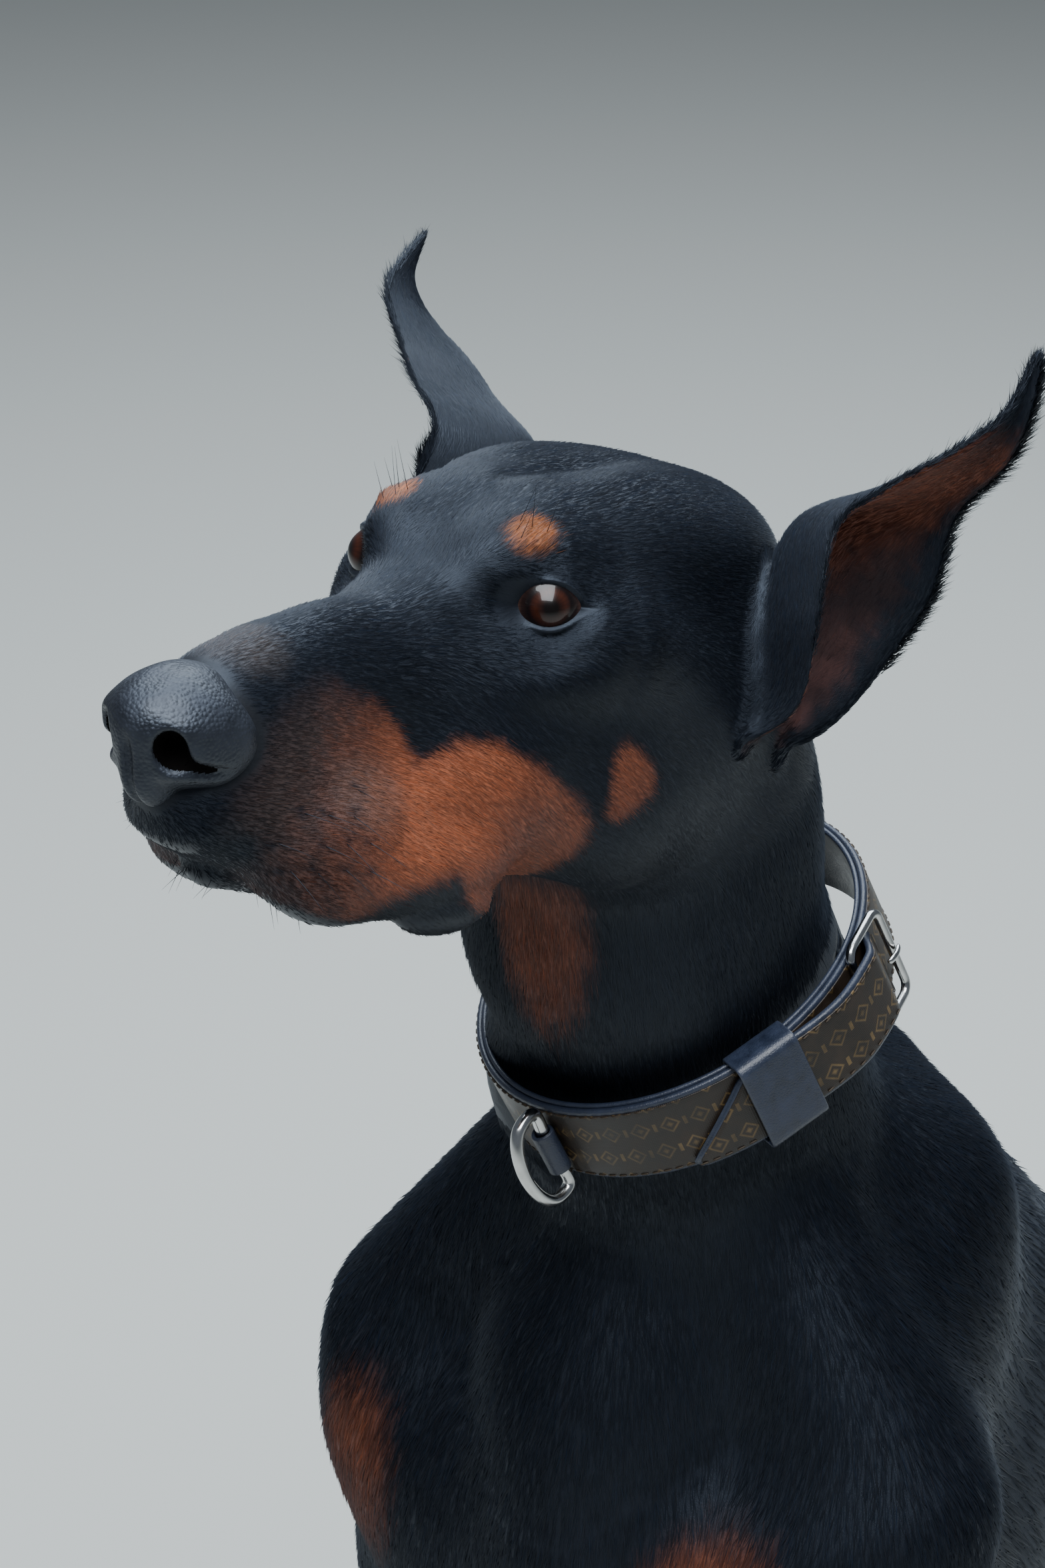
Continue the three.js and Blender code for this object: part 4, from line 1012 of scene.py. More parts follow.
# Marks of the chest, sideways and up: middle and radii
CHEST_MARKS = (((72, 496), (34, 44)), ((-99, 499), (25, 38)))
BROW_PLACE = (7, 27, 21)
WAVE_TURNS = np.array((
    (1.0, 0.4, 0.2), (-0.3, 1.1, 0.5), (0.4, -0.5, 1.2), (1.7, 1.3, -0.9), (-1.1, 1.9, 1.6),
))
WAVE_HEIGHTS = (0.3, 0.3, 0.3, 0.2, 0.2)
WAVE_SHIFT = 1.9


def outline_gap(points, outline, closed=True):
    """Distance from an outline, negative inside a closed one."""
    outline = np.array(outline, float)
    ends = np.roll(outline, -1, axis=0) if closed else outline[1:]
    nearest = np.full(len(points), FAR)
    inside = np.zeros(len(points), bool)
    for start, end in zip(outline, ends):
        edge = end - start
        share = np.clip((points - start) @ edge / (edge @ edge), 0, 1)
        nearest = np.minimum(nearest, np.linalg.norm(points - start - share[:, None] * edge, axis=1))
        crosses = (start[1] > points[:, 1]) != (end[1] > points[:, 1])
        level = np.where(edge[1] == 0, 1, edge[1])
        inside ^= crosses & (points[:, 0] < start[0] + (points[:, 1] - start[1]) / level * edge[0])
    return np.where(inside & closed, -nearest, nearest)


def ripple(points, size):
    """A smooth uneven value between about -1 and 1."""
    turns = points @ WAVE_TURNS.T * (2 * math.pi / size)
    return np.sin(turns + np.arange(len(WAVE_TURNS)) * WAVE_SHIFT) @ WAVE_HEIGHTS


def blob_gap(points, centre, radii):
    return (np.linalg.norm((points - np.array(centre)) / np.array(radii), axis=1) - 1) * min(radii)


def in_head(points):
    head = body_to_head(points)
    return smooth(head[:, 2] + 95 + 0.6 * (head[:, 0] + 90), -8, 14)


class Markings:
    """Colour of the hair, and how bare the skin is, at points of the body."""

    def __init__(self, points, facts, near_ear):
        self.points = points
        self.head = body_to_head(points)
        self.mirrored = on_left(self.head)
        self.profile = self.head[:, (0, 2)]
        self.on_head = in_head(points)
        self.uneven = ripple(points, 9) * 1.3 + ripple(points, 3.1) * 0.7
        self.colour = np.tile(BLACK, (len(points), 1))
        self.bare = np.zeros(len(points))
        self.paint_head()
        self.paint_body()
        self.paint_bare_skin()
        self.paint_ears(facts[:, 0], facts[:, 1], facts[:, 2] * near_ear)

    def lay(self, mask, shade, bare=False):
        self.colour += mask[:, None] * (np.asarray(shade) - self.colour)
        if bare:
            self.bare = np.maximum(self.bare, mask)

    def paint_head(self):
        forward, side, up = self.mirrored.T
        on_head, uneven = self.on_head, self.uneven
        blur = 3 + 7 * smooth(forward, 55, 95)
        muzzle = fade((outline_gap(self.profile, MUZZLE_MARK) + uneven) / blur, -1, 1)
        muzzle *= on_head * smooth(side, 6, 14)
        ahead = smooth(forward + 0.3 * (up + 60) + uneven * 5, 52, 108)
        self.lay(muzzle * (1 - 0.8 * ahead), RUST * (1.2 - 0.5 * ahead)[:, None])
        self.lay(muzzle * ahead * 0.55, GREY_BROWN * 0.62)
        thin = fade(np.hypot((forward - 70) / 17, (up + 58) / 12) + uneven * 0.12, 0.5, 1.25)
        self.lay(thin * muzzle * 0.45, GREY_BROWN)
        for root_forward, _, root_up in WHISKER_ROOTS:
            away = np.linalg.norm(self.profile - np.array((root_forward, root_up)), axis=1)
            self.lay(fade(away, 0.8, 1.7) * (side > 15) * on_head * 0.8, BLACK)
        cheek = fade(outline_gap(self.profile, CHEEK_MARK) + uneven * 0.6, -2, 2)
        self.lay(cheek * (side > 35) * on_head * 0.9, RUST)
        brow = fade(blob_gap(self.mirrored, BROW_PLACE, (9.5, 8, 7.5)) + uneven * 0.7, -2.5, 1.8)
        self.lay(brow * 0.88, BROW_RUST * (0.85 + 0.3 * ripple(self.points, 2.2))[:, None])
        bridge = fade(blob_gap(self.mirrored, (106, 0, -20), (15, 17, 11)) + uneven, -5, 2)
        self.lay(bridge * 0.42, GREY_BROWN * 0.75)
        under_jaw = fade(side, 24, 34) * smooth(-up, 97, 102) * on_head * smooth(forward, -62, -50)
        self.lay(under_jaw * fade(forward, 82, 100), RUST * 0.8)

    def paint_body(self):
        x, y, z = self.points.T
        uneven = self.uneven
        side = np.abs(x)
        front = fade(y, -72, -50)
        throat = blob_gap(self.points * (1, 0, 1), (5, 0, 790), (17, 1, 46)) * 17
        self.lay(fade(throat + uneven * 2, -6, 5) * front * (1 - self.on_head), RUST * 0.85)
        for (middle_x, middle_z), (across, over) in CHEST_MARKS:
            gap = (np.hypot((x - middle_x) / across, (z - middle_z) / over) - 1) * across
            self.lay(fade(gap + uneven * 3, -14, 7) * front * 0.95, RUST * 0.62)
        fore = (y < 20) & (z < 380)
        self.lay(fade(z + uneven * 8 + 60 * smooth(y, -30, 0), 175, 260) * fore, RUST)
        self.lay(fade(side + uneven * 3, 66, 78) * fore * (z > 150), RUST * 0.9)
        hind = (y > 40) & (z < 260)
        foot = fade(z + uneven * 5 + 0.25 * np.maximum(y - 240, 0), 44, 74)
        self.lay(foot * hind * (side > 70), RUST)
        inside_thigh = fade(side + uneven * 3, 74, 90) * fade(z, 150, 220) * (y < 300)
        self.lay(inside_thigh * hind, RUST * 0.85)
        under_tail = smooth(y, 372, 392) * fade(z + uneven * 3, 100, 120) * fade(side, 26, 44)
        self.lay(under_tail, RUST * 0.9)
        for paw_x, paw_y, _ in PAWS:
            on_toe = (y < paw_y - 12) & (y > paw_y - 60) & (z > 12) & (z < 45)
            for across, *_ in TOES:
                line = np.abs(side - paw_x - across) + uneven * 0.5
                self.lay(fade(line, 1.2, 3.2) * on_toe * 0.85, BLACK)

    def paint_bare_skin(self):
        forward, _, up = self.head.T
        chin = smooth(forward + self.uneven, 102, 112) * smooth(self.uneven - up, 66, 74)
        self.lay(chin * self.on_head, BLACK)
        lips = fade(np.abs(outline_gap(self.profile, LIP_LINE, closed=False)), 1.6, 3.4)
        self.lay(lips * self.on_head * (up < -70), BARE_BLACK, bare=True)
        for s in SIDES:
            reach, ways, gap, _ = eye_view(self.points, s)
            facing = ways[:, 0] > 0
            self.lay(fade(gap, 1.0, 2.2) * (reach < 18) * facing, BARE_BLACK, bare=True)
            self.lay(fade(gap, 1.5, 4.5) * (reach < 20) * facing * 0.8, BLACK)
        self.lay(fade(melted(nose_masses, self.head), 0.5, 2.5), BARE_BLACK, bare=True)

    def paint_ears(self, share, place, inside):
        wavy = self.uneven * 0.02
        lower = place + wavy
        cup = inside * smooth(share + wavy, 0.06, 0.14) * fade(share + wavy, 0.9, 0.97)
        cup = cup * fade(lower, 0.6, 0.8)
        self.lay(cup, CUP_DARK)
        fleshy = cup * fade(lower, 0.2, 0.36) * smooth(share, 0.15, 0.3)
        self.lay(fleshy * (0.6 + 0.4 * ripple(self.points, 14)).clip(0.15, 1), CUP_SKIN)
        self.bare = np.maximum(self.bare, cup * fade(lower, 0.35, 0.55) * 0.8)
        limit = 0.55 + 0.9 * np.clip(place - 0.2, 0, 0.5)
        blaze = inside * fade(share + wavy * 2, limit - 0.14, limit + 0.14)
        blaze *= smooth(lower, 0.04, 0.18) * fade(lower, 0.6, 0.84)
        self.lay(blaze * (0.8 + 0.2 * ripple(self.points, 5)), RUST * 1.1)
        self.bare = self.bare * (1 - blaze * 0.9)


# How the hair lies: back over the face, up the ears, down the neck, chest and legs, and
# forwards on the feet. Each row is where it changes, the direction, and the hair's length
# and width there in millimetres.
EAR_NEAR, EAR_FAR = 3, 6
BACK_HAIR = (13.0, 1.0)
EAR_HAIR = (3.4, 0.25)
LID_HAIR = (2.2, 0.22)
ear_points = np.concatenate([head_to_body(ears[s][0].reshape(-1, 3)) for s in SIDES])
ear_facts = np.concatenate([ears[s][1].reshape(-1, 4) for s in SIDES])
ear_ways = np.concatenate([
    unit(np.gradient(ears[s][0], axis=0)).reshape(-1, 3) @ head_axes for s in SIDES
])
ear_tree = kdtree.KDTree(len(ear_points))
for index, point in enumerate(ear_points):
    ear_tree.insert(point, index)
ear_tree.balance()


def on_ears(points):
    """Facts of the nearest place on an ear, its direction, and how near it is."""
    facts = np.zeros((len(points), 4))
    ways = np.zeros((len(points), 3))
    near = np.zeros(len(points))
    head = body_to_head(points)
    for index in np.nonzero((head[:, 0] < -60) & (np.abs(head[:, 1]) > 40) & (head[:, 2] > -70))[0]:
        found, distance = ear_tree.find(points[index])[1:]
        if distance < EAR_FAR:
            facts[index] = ear_facts[found]
            ways[index] = ear_ways[found]
            near[index] = fade(distance, EAR_NEAR, EAR_FAR)
    return facts, ways, near


def lie_of_hair(points, ways, near):
    head = body_to_head(points)
    x, y, z = points.T
    side = np.abs(x)
    lie = np.tile(unit((0, 0.55, -0.83)), (len(points), 1))
    size = np.tile(BACK_HAIR, (len(points), 1))
    on_head = in_head(points)
    low_face = smooth(np.abs(head[:, 1]), 15, 35) * fade(head[:, 2], -30, 0)
    back = np.array((-1, 0, -0.08)) @ head_axes
    back_and_down = unit((-0.88, 0, -0.45)) @ head_axes
    rows = (
        (fade(y, -40, 20) * smooth(z, 330, 380), (0, 0.02, -1), (9, 0.5)),
        (smooth(z, 560, 650), (0, 0.25, -0.97), (7.5, 0.42)),
        ((side > 50) * fade(z, 300, 380) * (y < 45), (0, 0.12, -1), (7.5, 0.7)),
        ((side > 60) * (y > 60) * fade(z, 190, 280), (0, -0.3, -0.95), (10, 0.9)),
        (smooth(y, 385, 410), (0, 1, -0.2), (9, 0.8)),
        (fade(z, 40, 60), (0, -0.85, -0.5), (4.5, 0.6)),
        (on_head, back, (4.4, 0.25)),
        (on_head * low_face, back_and_down, (4.2, 0.25)),
        (on_head * smooth(head[:, 0], 60, 95), back, (3.0, 0.23)),
    )
    for mask, direction, sizes in rows:
        lie += mask[:, None] * (unit(direction) - lie)
        size += mask[:, None] * (np.array(sizes) - size)
    for s in SIDES:
        reach, _, _, flat = eye_view(points, s)
        close = fade(flat, 2, 12) * (reach < LID_REACH)
        size += close[:, None] * (np.array(LID_HAIR) - size)
        brow = fade(blob_gap(head, np.array(BROW_PLACE) * (1, s, 1), (11, 10, 9)), -2, 4)
        lie += (brow * 0.7)[:, None] * (unit((-0.35, 0.25 * s, 0.9)) @ head_axes - lie)
    lie += near[:, None] * (ways - lie)
    size += near[:, None] * (np.array(EAR_HAIR) - size)
    return unit(lie), size


def paint(piece, name, colours):
    values = np.ones((len(colours), 4))
    values[:, :3] = colours
    layer = piece.data.color_attributes.new(name=name, type="FLOAT_COLOR", domain="POINT")
    layer.data.foreach_set("color", values.ravel())


skin_places = to_body(points_of(skin))
skin_facts, skin_ways, skin_near = on_ears(skin_places)
skin_marks = Markings(skin_places, skin_facts, skin_near)
paint(skin, "hide", skin_marks.colour)
paint(skin, "bare", np.repeat(skin_marks.bare[:, None], 3, axis=1))
# Places squeezed along the lie of the hair, so that a plain noise comes out as strands
STRAND_MIDDLE = np.array((0, -80, 600))
STRAND_SQUEEZE = 0.9
skin_lie, _ = lie_of_hair(skin_places, skin_ways, skin_near)
strands = (skin_places - STRAND_MIDDLE) * MM
strands = strands - STRAND_SQUEEZE * skin_lie * (strands * skin_lie).sum(1)[:, None]
flow = skin.data.attributes.new("strands", "FLOAT_VECTOR", "POINT")
flow.data.foreach_set("vector", strands.ravel())

COOL_SHEEN = (0.6, 0.75, 1, 1)
COOL_GLOSS = (0.66, 0.8, 1, 1)
hide = Finish(
    "hide_under_coat", Sheen_Weight=0.05, Sheen_Roughness=0.45, Sheen_Tint=COOL_SHEEN,
    Specular_IOR_Level=0.34, Specular_Tint=COOL_GLOSS)
bare = hide.attribute("bare", 2)
along = hide.attribute("strands", 1)
hairs = hide.noise(2100, 5, 0.65, along)
furred = hide.math("MULTIPLY", hairs, hide.math("SUBTRACT", 1.0, bare))
locks = hide.bump(hide.noise(420, 4, at=along), 0.15, 0.6, hide.bump(furred, 0.5, 0.3))
tone = hide.ramp(hairs, (0.3, 0.55), (0.7, 1.5))
hide.feed(
    Base_Color=hide.mix(0.8, hide.attribute("hide"), tone, "MULTIPLY"),
    Roughness=hide.ramp(bare, (0.0, 0.52), (1.0, 0.48)),
    Normal=hide.bump(hide.noise(1300, 4), 0.12, 0.12, locks),
)
hide.cover(skin)

# The coat itself: thin flat tufts of hair, fine and close on the head, broader on the
# body. Each is rooted in the hide, lies along it and overlaps the next.
TUFTS_IN_ALL = 364000
TUFTS_IN_PIECE = 47000
SUNK = 0.3
RELIEF = 0.5
# Corners of a tuft's four faces, and how bright each point is, from the foot to the tip
TUFT_FACES = np.array((0, 1, 2, 0, 3, 1, 1, 3, 2, 2, 3, 0))
TUFT_TONES = np.array((0.7, 0.7, 0.85, 1.15))
# Size of a tuft's patch on the map of baked colours, and the map's quarters
PATCH = 0.0015
MAP_LOW, MAP_HIGH, MAP_SPAN = 0.01, 0.51, 0.48
# How uneven the hair is: where its colour is read, its lie, lift, tone and redness
COLOUR_STRAY = 0.9
LIE_STRAY = 0.1
LIFT, LIFT_STRAY = 5, 2.5
TONE_STRAY, RUDDY_STRAY = 0.24, 0.12
BARE_THINNING = 0.93
BAND_HEIGHT = 60
random = np.random.default_rng(11)


def thickness_of_coat(points):
    """Tufts to a square millimetre."""
    x, y, z = points.T
    close = np.full(len(points), 0.1)
    close += fade(y, -20, 40) * smooth(z, 330, 420) * 0.6
    close += smooth(z, 560, 640) * (1.15 - close)
    close += in_head(points) * (2.1 - close)
    from_collar = points - np.array(COLLAR_CENTRE)
    strap = np.abs(from_collar @ np.array(collar_facing))
    strap_round = np.linalg.norm(from_collar, axis=1) < 110
    return close * np.where(strap_round, smooth(strap, 12, 15), 1)


def share_of_turn(across, ahead):
    return np.arctan2(across, ahead) / (2 * math.pi) + 0.5


def unwrapped(points, facts, near):
    """A flat place for each root on a plan of the hide: head, ears, trunk and legs."""
    head = body_to_head(points)
    x, y, z = points.T
    side = np.abs(x)

    def plan_of(left, turn, width, low, share):
        return np.stack([left + turn * width, low + share * MAP_SPAN], axis=1)

    turn = share_of_turn(head[:, 1], -(head[:, 2] + 40))
    plan = plan_of(MAP_LOW, turn, MAP_SPAN, MAP_HIGH, np.clip((head[:, 0] + 150) / 310, 0, 1))
    turn = share_of_turn(x, -(y - np.interp(z, (0, 300, 600), (330, 200, -10))))
    trunk = in_head(points) < 0.5
    plan[trunk] = plan_of(MAP_LOW, turn, MAP_SPAN, MAP_LOW, np.clip(z / 900, 0, 1))[trunk]
    for chosen, start, middle_x, middle_y, top in (
        ((y < 30) & (z < 380) & (side > 45), 0.51, 84, -24, 380),
        ((y >= 30) & (z < 250) & (side > 75), 0.76, 120, 200, 250),
    ):
        turn = share_of_turn(side - middle_x, y - middle_y)
        leg = plan_of(start + (x > 0) * 0.12, turn, 0.11, MAP_LOW, np.clip(z / top, 0, 1))
        plan[chosen] = leg[chosen]
    ear_start = np.where(facts[:, 3] > 0, 0.51, 0.76)
    on_ear = near > 0.3
    plan[on_ear] = plan_of(ear_start, facts[:, 0] + facts[:, 2], 0.115, MAP_HIGH, facts[:, 1])[on_ear]
    return plan


def tuft_piece(name, roots, lies, normals, lengths, widths, lifts, colours, plans):
    """A mesh of four-sided spikes; the third corner of the foot is on top."""
    count = len(roots)
    lies = unit(lies - normals * (lies * normals).sum(1)[:, None])
    sides = np.cross(normals, lies)
    half = widths[:, None] / 2
    foot = roots - normals * SUNK
    tips = roots + lengths[:, None] * (
        lies * np.cos(lifts)[:, None] + normals * np.sin(lifts)[:, None])
    top = foot + normals * (SUNK + half * 0.7)
    points = np.stack([foot + sides * half, foot - sides * half, top, tips], axis=1)
    mesh = bpy.data.meshes.new(name)
    mesh.vertices.add(count * 4)
    mesh.loops.add(count * 12)
    mesh.polygons.add(count * 4)
    mesh.vertices.foreach_set("co", from_body(points.reshape(-1, 3)).ravel())
    mesh.loops.foreach_set("vertex_index", (np.arange(count)[:, None] * 4 + TUFT_FACES).ravel())
    mesh.polygons.foreach_set("loop_start", np.arange(count * 4) * 3)
    mesh.polygons.foreach_set("loop_total", np.full(count * 4, 3))
    mesh.update(calc_edges=True)
    piece = link(name, mesh)
    shades = colours[:, None] * TUFT_TONES[None, :, None]
    paint(piece, "hair", shades.reshape(-1, 3))
    patch = np.array(((-1, -1), (1, -1), (0, 0), (0, 1))) * PATCH
    map_points(piece, "OFBake", plans[:, None] + patch)
    activate(piece)
    bpy.ops.object.shade_smooth()
    relief = np.stack([sides, -sides, normals * 0, lies * 0.5], axis=1) * RELIEF
    mesh.normals_split_custom_set_from_vertices(unit(normals[:, None] + relief).reshape(-1, 3))
    coat_hair.cover(piece)
    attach(piece, "root")


coat_hair = Finish(
    "coat_hair", Roughness=0.46, Specular_IOR_Level=0.34, Specular_Tint=COOL_GLOSS,
    Sheen_Weight=0.03, Sheen_Roughness=0.4, Sheen_Tint=COOL_SHEEN)
tone = coat_hair.ramp(coat_hair.noise(60, 3), (0.35, 0.75), (0.65, 1.25))
coat_hair.feed(Base_Color=coat_hair.mix(0.7, coat_hair.attribute("hair"), tone, "MULTIPLY"))

skin.data.calc_loop_triangles()
corners = read(skin.data.loop_triangles, "vertices", 3, int)
areas = read(skin.data.loop_triangles, "area") / MM ** 2
skin_normals = read(skin.data.vertex_normals, "vector", 3)
middles = skin_places[corners].mean(1)
wanted = areas * thickness_of_coat(middles)
wanted *= 1 - skin_marks.bare[corners].mean(1) * BARE_THINNING
for s in SIDES:
    reach, _, gap, _ = eye_view(middles, s)
    wanted[(reach <= 22) & (gap < 1.2)] = 0
wanted[(melted(nose_masses, body_to_head(middles)) < 0.8) | (middles[:, 2] < 4)] = 0
wanted *= TUFTS_IN_ALL / wanted.sum()
number = np.floor(wanted + random.random(len(wanted))).astype(int)
chosen = np.repeat(np.arange(len(number)), number)
shares = random.dirichlet((1, 1, 1), len(chosen))
picked = corners[chosen]


def spread(values):
    return (values[picked] * shares[..., None]).sum(1)


roots = spread(skin_places)
root_normals = unit(spread(skin_normals))
root_facts, root_ways, root_near = on_ears(roots)
root_marks = Markings(roots + random.normal(0, COLOUR_STRAY, roots.shape), root_facts, root_near)
lies, sizes = lie_of_hair(roots, root_ways, root_near)
plans = unwrapped(roots, root_facts, root_near)
lies = lies + random.normal(0, LIE_STRAY, lies.shape) + LIE_STRAY * np.stack([
    ripple(roots, 26), ripple(roots + 40, 31), ripple(roots - 70, 22)], axis=1)
lengths = sizes[:, 0] * random.uniform(0.65, 1.2, len(roots))
widths = sizes[:, 1] * random.uniform(0.75, 1.25, len(roots))
lifts = np.radians(random.normal(LIFT, LIFT_STRAY, len(roots)))
tones = random.lognormal(0, TONE_STRAY, len(roots))
ruddy = random.normal(1, RUDDY_STRAY, len(roots))
tints = np.stack([ruddy, np.ones(len(roots)), 1 / np.maximum(ruddy, 0.5)], axis=1)
colours = root_marks.colour * tones[:, None] * tints
order = np.lexsort((roots[:, 1], np.round(roots[:, 2] / BAND_HEIGHT)))
pieces_wanted = math.ceil(len(order) / TUFTS_IN_PIECE)
tufts = (roots, lies, root_normals, lengths, widths, lifts, colours, plans)
for k, part in enumerate(np.array_split(order, pieces_wanted)):
    tuft_piece("coat_%02d" % (k + 1), *(values[part] for values in tufts))

# Collar strap: dark leather with round burnished edges over a lining, faced with brown
# coated canvas that has a small printed lattice. It is an oval hoop, wider than a finger.
# Angles run from the throat to the dog's left.
STRAP_INSIDE = 75
STRAP_THICKNESS = 4.5
STRAP_WIDTH = 34
NARROWING = 0.91
STRAP_RINGS = 168
FACING_WIDTH = 29.4
FACING_PROUD = 0.45
FACING_LIFT = 0.02
FACING_ROUND = 0.4
# Each layer: name, inside, outside and half width
LAYERS = (
    ("strap_lining", 0, 2.05, STRAP_WIDTH / 2 + 0.1),
    ("strap_leather", 1.95, STRAP_THICKNESS, STRAP_WIDTH / 2 - 0.5),
)
# Way round the outside of the oval, and size of a cell of the lattice in metres
ROUND = 2 * math.pi * (STRAP_INSIDE + STRAP_THICKNESS) * 0.955
LATTICE = 0.0112
turn_matrix = np.array(collar_turn)


def on_strap(angle, out, height):
    """Points of the body at an angle round the strap, out from its inside and up it."""
    turn = np.radians(np.asarray(angle, float) - 90)
    radius = STRAP_INSIDE + np.asarray(out, float)
    across = np.cos(turn) * radius * NARROWING
    ahead = np.sin(turn) * radius
    points = np.stack(np.broadcast_arrays(across, ahead, height), axis=-1)
    return points @ turn_matrix.T + np.array(COLLAR_CENTRE)


def strap_frame(angle, out):
    """Middle and axes, out, along and up, of a frame that stands on the strap."""
    turn = math.radians(angle - 90)
    facing = unit((math.cos(turn) / NARROWING, math.sin(turn), 0))
    axes = np.array((facing, np.cross((0, 0, 1), facing), (0, 0, 1))) @ turn_matrix.T
    return on_strap(angle, out, 0), axes


def dense(outline, spacing):
    """The same outline with more points on its long sides."""
    result = []
    for start, end in zip(outline, np.roll(outline, -1, axis=0)):
        steps = max(1, int(np.linalg.norm(end - start) / spacing))
        result += [start + (end - start) * k / steps for k in range(steps)]
    return np.array(result)


def rounded(half_out, half_up, corner, spacing, steps=5):
    """Points round a rectangle with round corners."""
    points = []
    for quarter, (a, b) in enumerate(((1, 1), (-1, 1), (-1, -1), (1, -1))):
        for angle in np.linspace(0, math.pi / 2, steps):
            turn = quarter * math.pi / 2 + angle
            points.append((
                a * (half_out - corner) + corner * math.cos(turn),
                b * (half_up - corner) + corner * math.sin(turn),
            ))
    return dense(np.array(points), spacing)


leather = Finish("edge_leather", Specular_IOR_Level=0.5, Coat_Weight=0.15, Coat_Roughness=0.3)
cells = leather.add("TexVoronoi", {"feature": "DISTANCE_TO_EDGE"}, Vector=leather.place(), Scale=900.0)
creases = leather.noise(180, 6, 0.65)
# The colour turns a lighter blue-grey on sharp convex edges
lighter_on_edges = leather.ramp(leather.add("NewGeometry", out=7), (0.5, 0), (0.56, 1))
dark = leather.ramp(creases, (0.3, (0.007, 0.0105, 0.021)), (0.7, (0.018, 0.026, 0.05)))
edge_blue_grey = (0.05, 0.06, 0.09, 1)
folds = leather.bump(creases, 0.25, 0.3)
leather.feed(
    Base_Color=leather.mix(leather.math("MULTIPLY", lighter_on_edges, 0.4), dark, edge_blue_grey),
    Roughness=leather.ramp(creases, (0.3, 0.33), (0.7, 0.5)),
    Normal=leather.bump(leather.ramp(cells, (0.0, 0), (0.25, 1)), 0.35, 0.15, folds),
)

canvas = Finish(
    "coated_canvas", Roughness=0.42, Specular_IOR_Level=0.4, Coat_Weight=0.1, Coat_Roughness=0.35)
arith = canvas.math
plan = canvas.add("UVMap", {"uv_map": "Facing"})
along, over = canvas.add("SeparateXYZ", _0=plan).node.outputs[:2]
row = arith("FLOOR", arith("DIVIDE", over, LATTICE))
shift = arith("MULTIPLY", arith("MODULO", arith("ADD", row, 40.0), 2.0), 0.5)
cell_x = arith("FRACT", arith("ADD", arith("DIVIDE", along, LATTICE), shift))
cell_y = arith("FRACT", arith("ADD", arith("DIVIDE", over, LATTICE), 40.0))
from_x, from_y = (arith("ABSOLUTE", arith("SUBTRACT", cell, 0.5)) for cell in (cell_x, cell_y))
diamond = arith("ADD", from_x, from_y)
band = arith("ABSOLUTE", arith("SUBTRACT", diamond, 0.3))
outline_mask, heart = (
    arith("SUBTRACT", 1.0, canvas.add(
        "MapRange", {"interpolation_type": "SMOOTHSTEP"}, Value=value, From_Min=low, From_Max=high))
    for value, low, high in ((band, 0.0, 0.08), (diamond, 0.03, 0.17))
)
bars = arith("MULTIPLY", arith("GREATER_THAN", from_x, 0.44), arith("LESS_THAN", from_y, 0.16))
motif = arith("MAXIMUM", arith("MAXIMUM", outline_mask, heart), bars)
weave_x, weave_y = (
    canvas.add("SeparateColor", _0=canvas.add(
        "TexWave", {"wave_type": "BANDS", "bands_direction": way}, Vector=plan, Scale=420.0))
    for way in ("X", "Y")
)
weave = arith("MULTIPLY", weave_x, weave_y)
rubbed = canvas.noise(90, 5, 0.6)
ground = canvas.ramp(rubbed, (0.3, (0.011, 0.0075, 0.005)), (0.7, (0.022, 0.014, 0.009)))
print_tone = canvas.ramp(rubbed, (0.35, (0.045, 0.028, 0.01)), (0.65, (0.12, 0.077, 0.03)))
grime = canvas.ramp(rubbed, (0.3, 0.6), (0.7, 1.25))
canvas.feed(
    Base_Color=canvas.mix(0.8, canvas.mix(motif, ground, print_tone), grime, "MULTIPLY"),
    Roughness=canvas.ramp(rubbed, (0.3, 0.34), (0.7, 0.52)),
    Normal=canvas.bump(weave, 0.35, 0.12, canvas.bump(motif, 0.3, 0.08)),
)

angles = np.linspace(0, 360, STRAP_RINGS, endpoint=False)
for name, inside, outside, half_width in LAYERS:
    outline = rounded((outside - inside) / 2, half_width, (outside - inside) * 0.46, 2.5)
    out = outline[:, 0] + (inside + outside) / 2
    rings = np.array([on_strap(angle, out, outline[:, 1]) for angle in angles])
    layer = loft(name, [rings], closed=True)
    leather.cover(layer)
    if name == "strap_leather":
        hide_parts("collar_strap")
    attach(layer, "root")
outline = rounded(FACING_PROUD, FACING_WIDTH / 2, FACING_ROUND, 2.5)
out = STRAP_THICKNESS + FACING_LIFT + outline[:, 0]
rings = np.array([on_strap(angle, out, outline[:, 1]) for angle in angles])
plan = np.stack(np.broadcast_arrays(angles[:, None] / 360 * ROUND * MM, outline[:, 1] * MM), axis=-1)
strap_facing = loft("strap_facing", [rings], closed=True, plan=plan)
canvas.cover(strap_facing)
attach(strap_facing, "root")

# The free end: the same leather and canvas, come up through the buckle, slack, and tucked
# close under the keeper. It is cut to a slanting tip with round corners.
END_TIP, END_ROOT = 31, 105
END_THICKNESS = 3.2
END_WIDTH = 31
END_COLUMNS = 96
END_SLANT = 24
SLACK = 5.2
GAP = 0.3
FACING_INSET = 1.6


def tip_at(height):
    """Angle at which the slanting tip ends at a height."""
    return END_TIP + END_SLANT * np.clip((height + END_WIDTH / 2 - 3) / END_WIDTH, 0, 1)


def slack_at(angle):
    return SLACK * smooth(angle, 62, 86) * fade(angle, 97, END_ROOT)


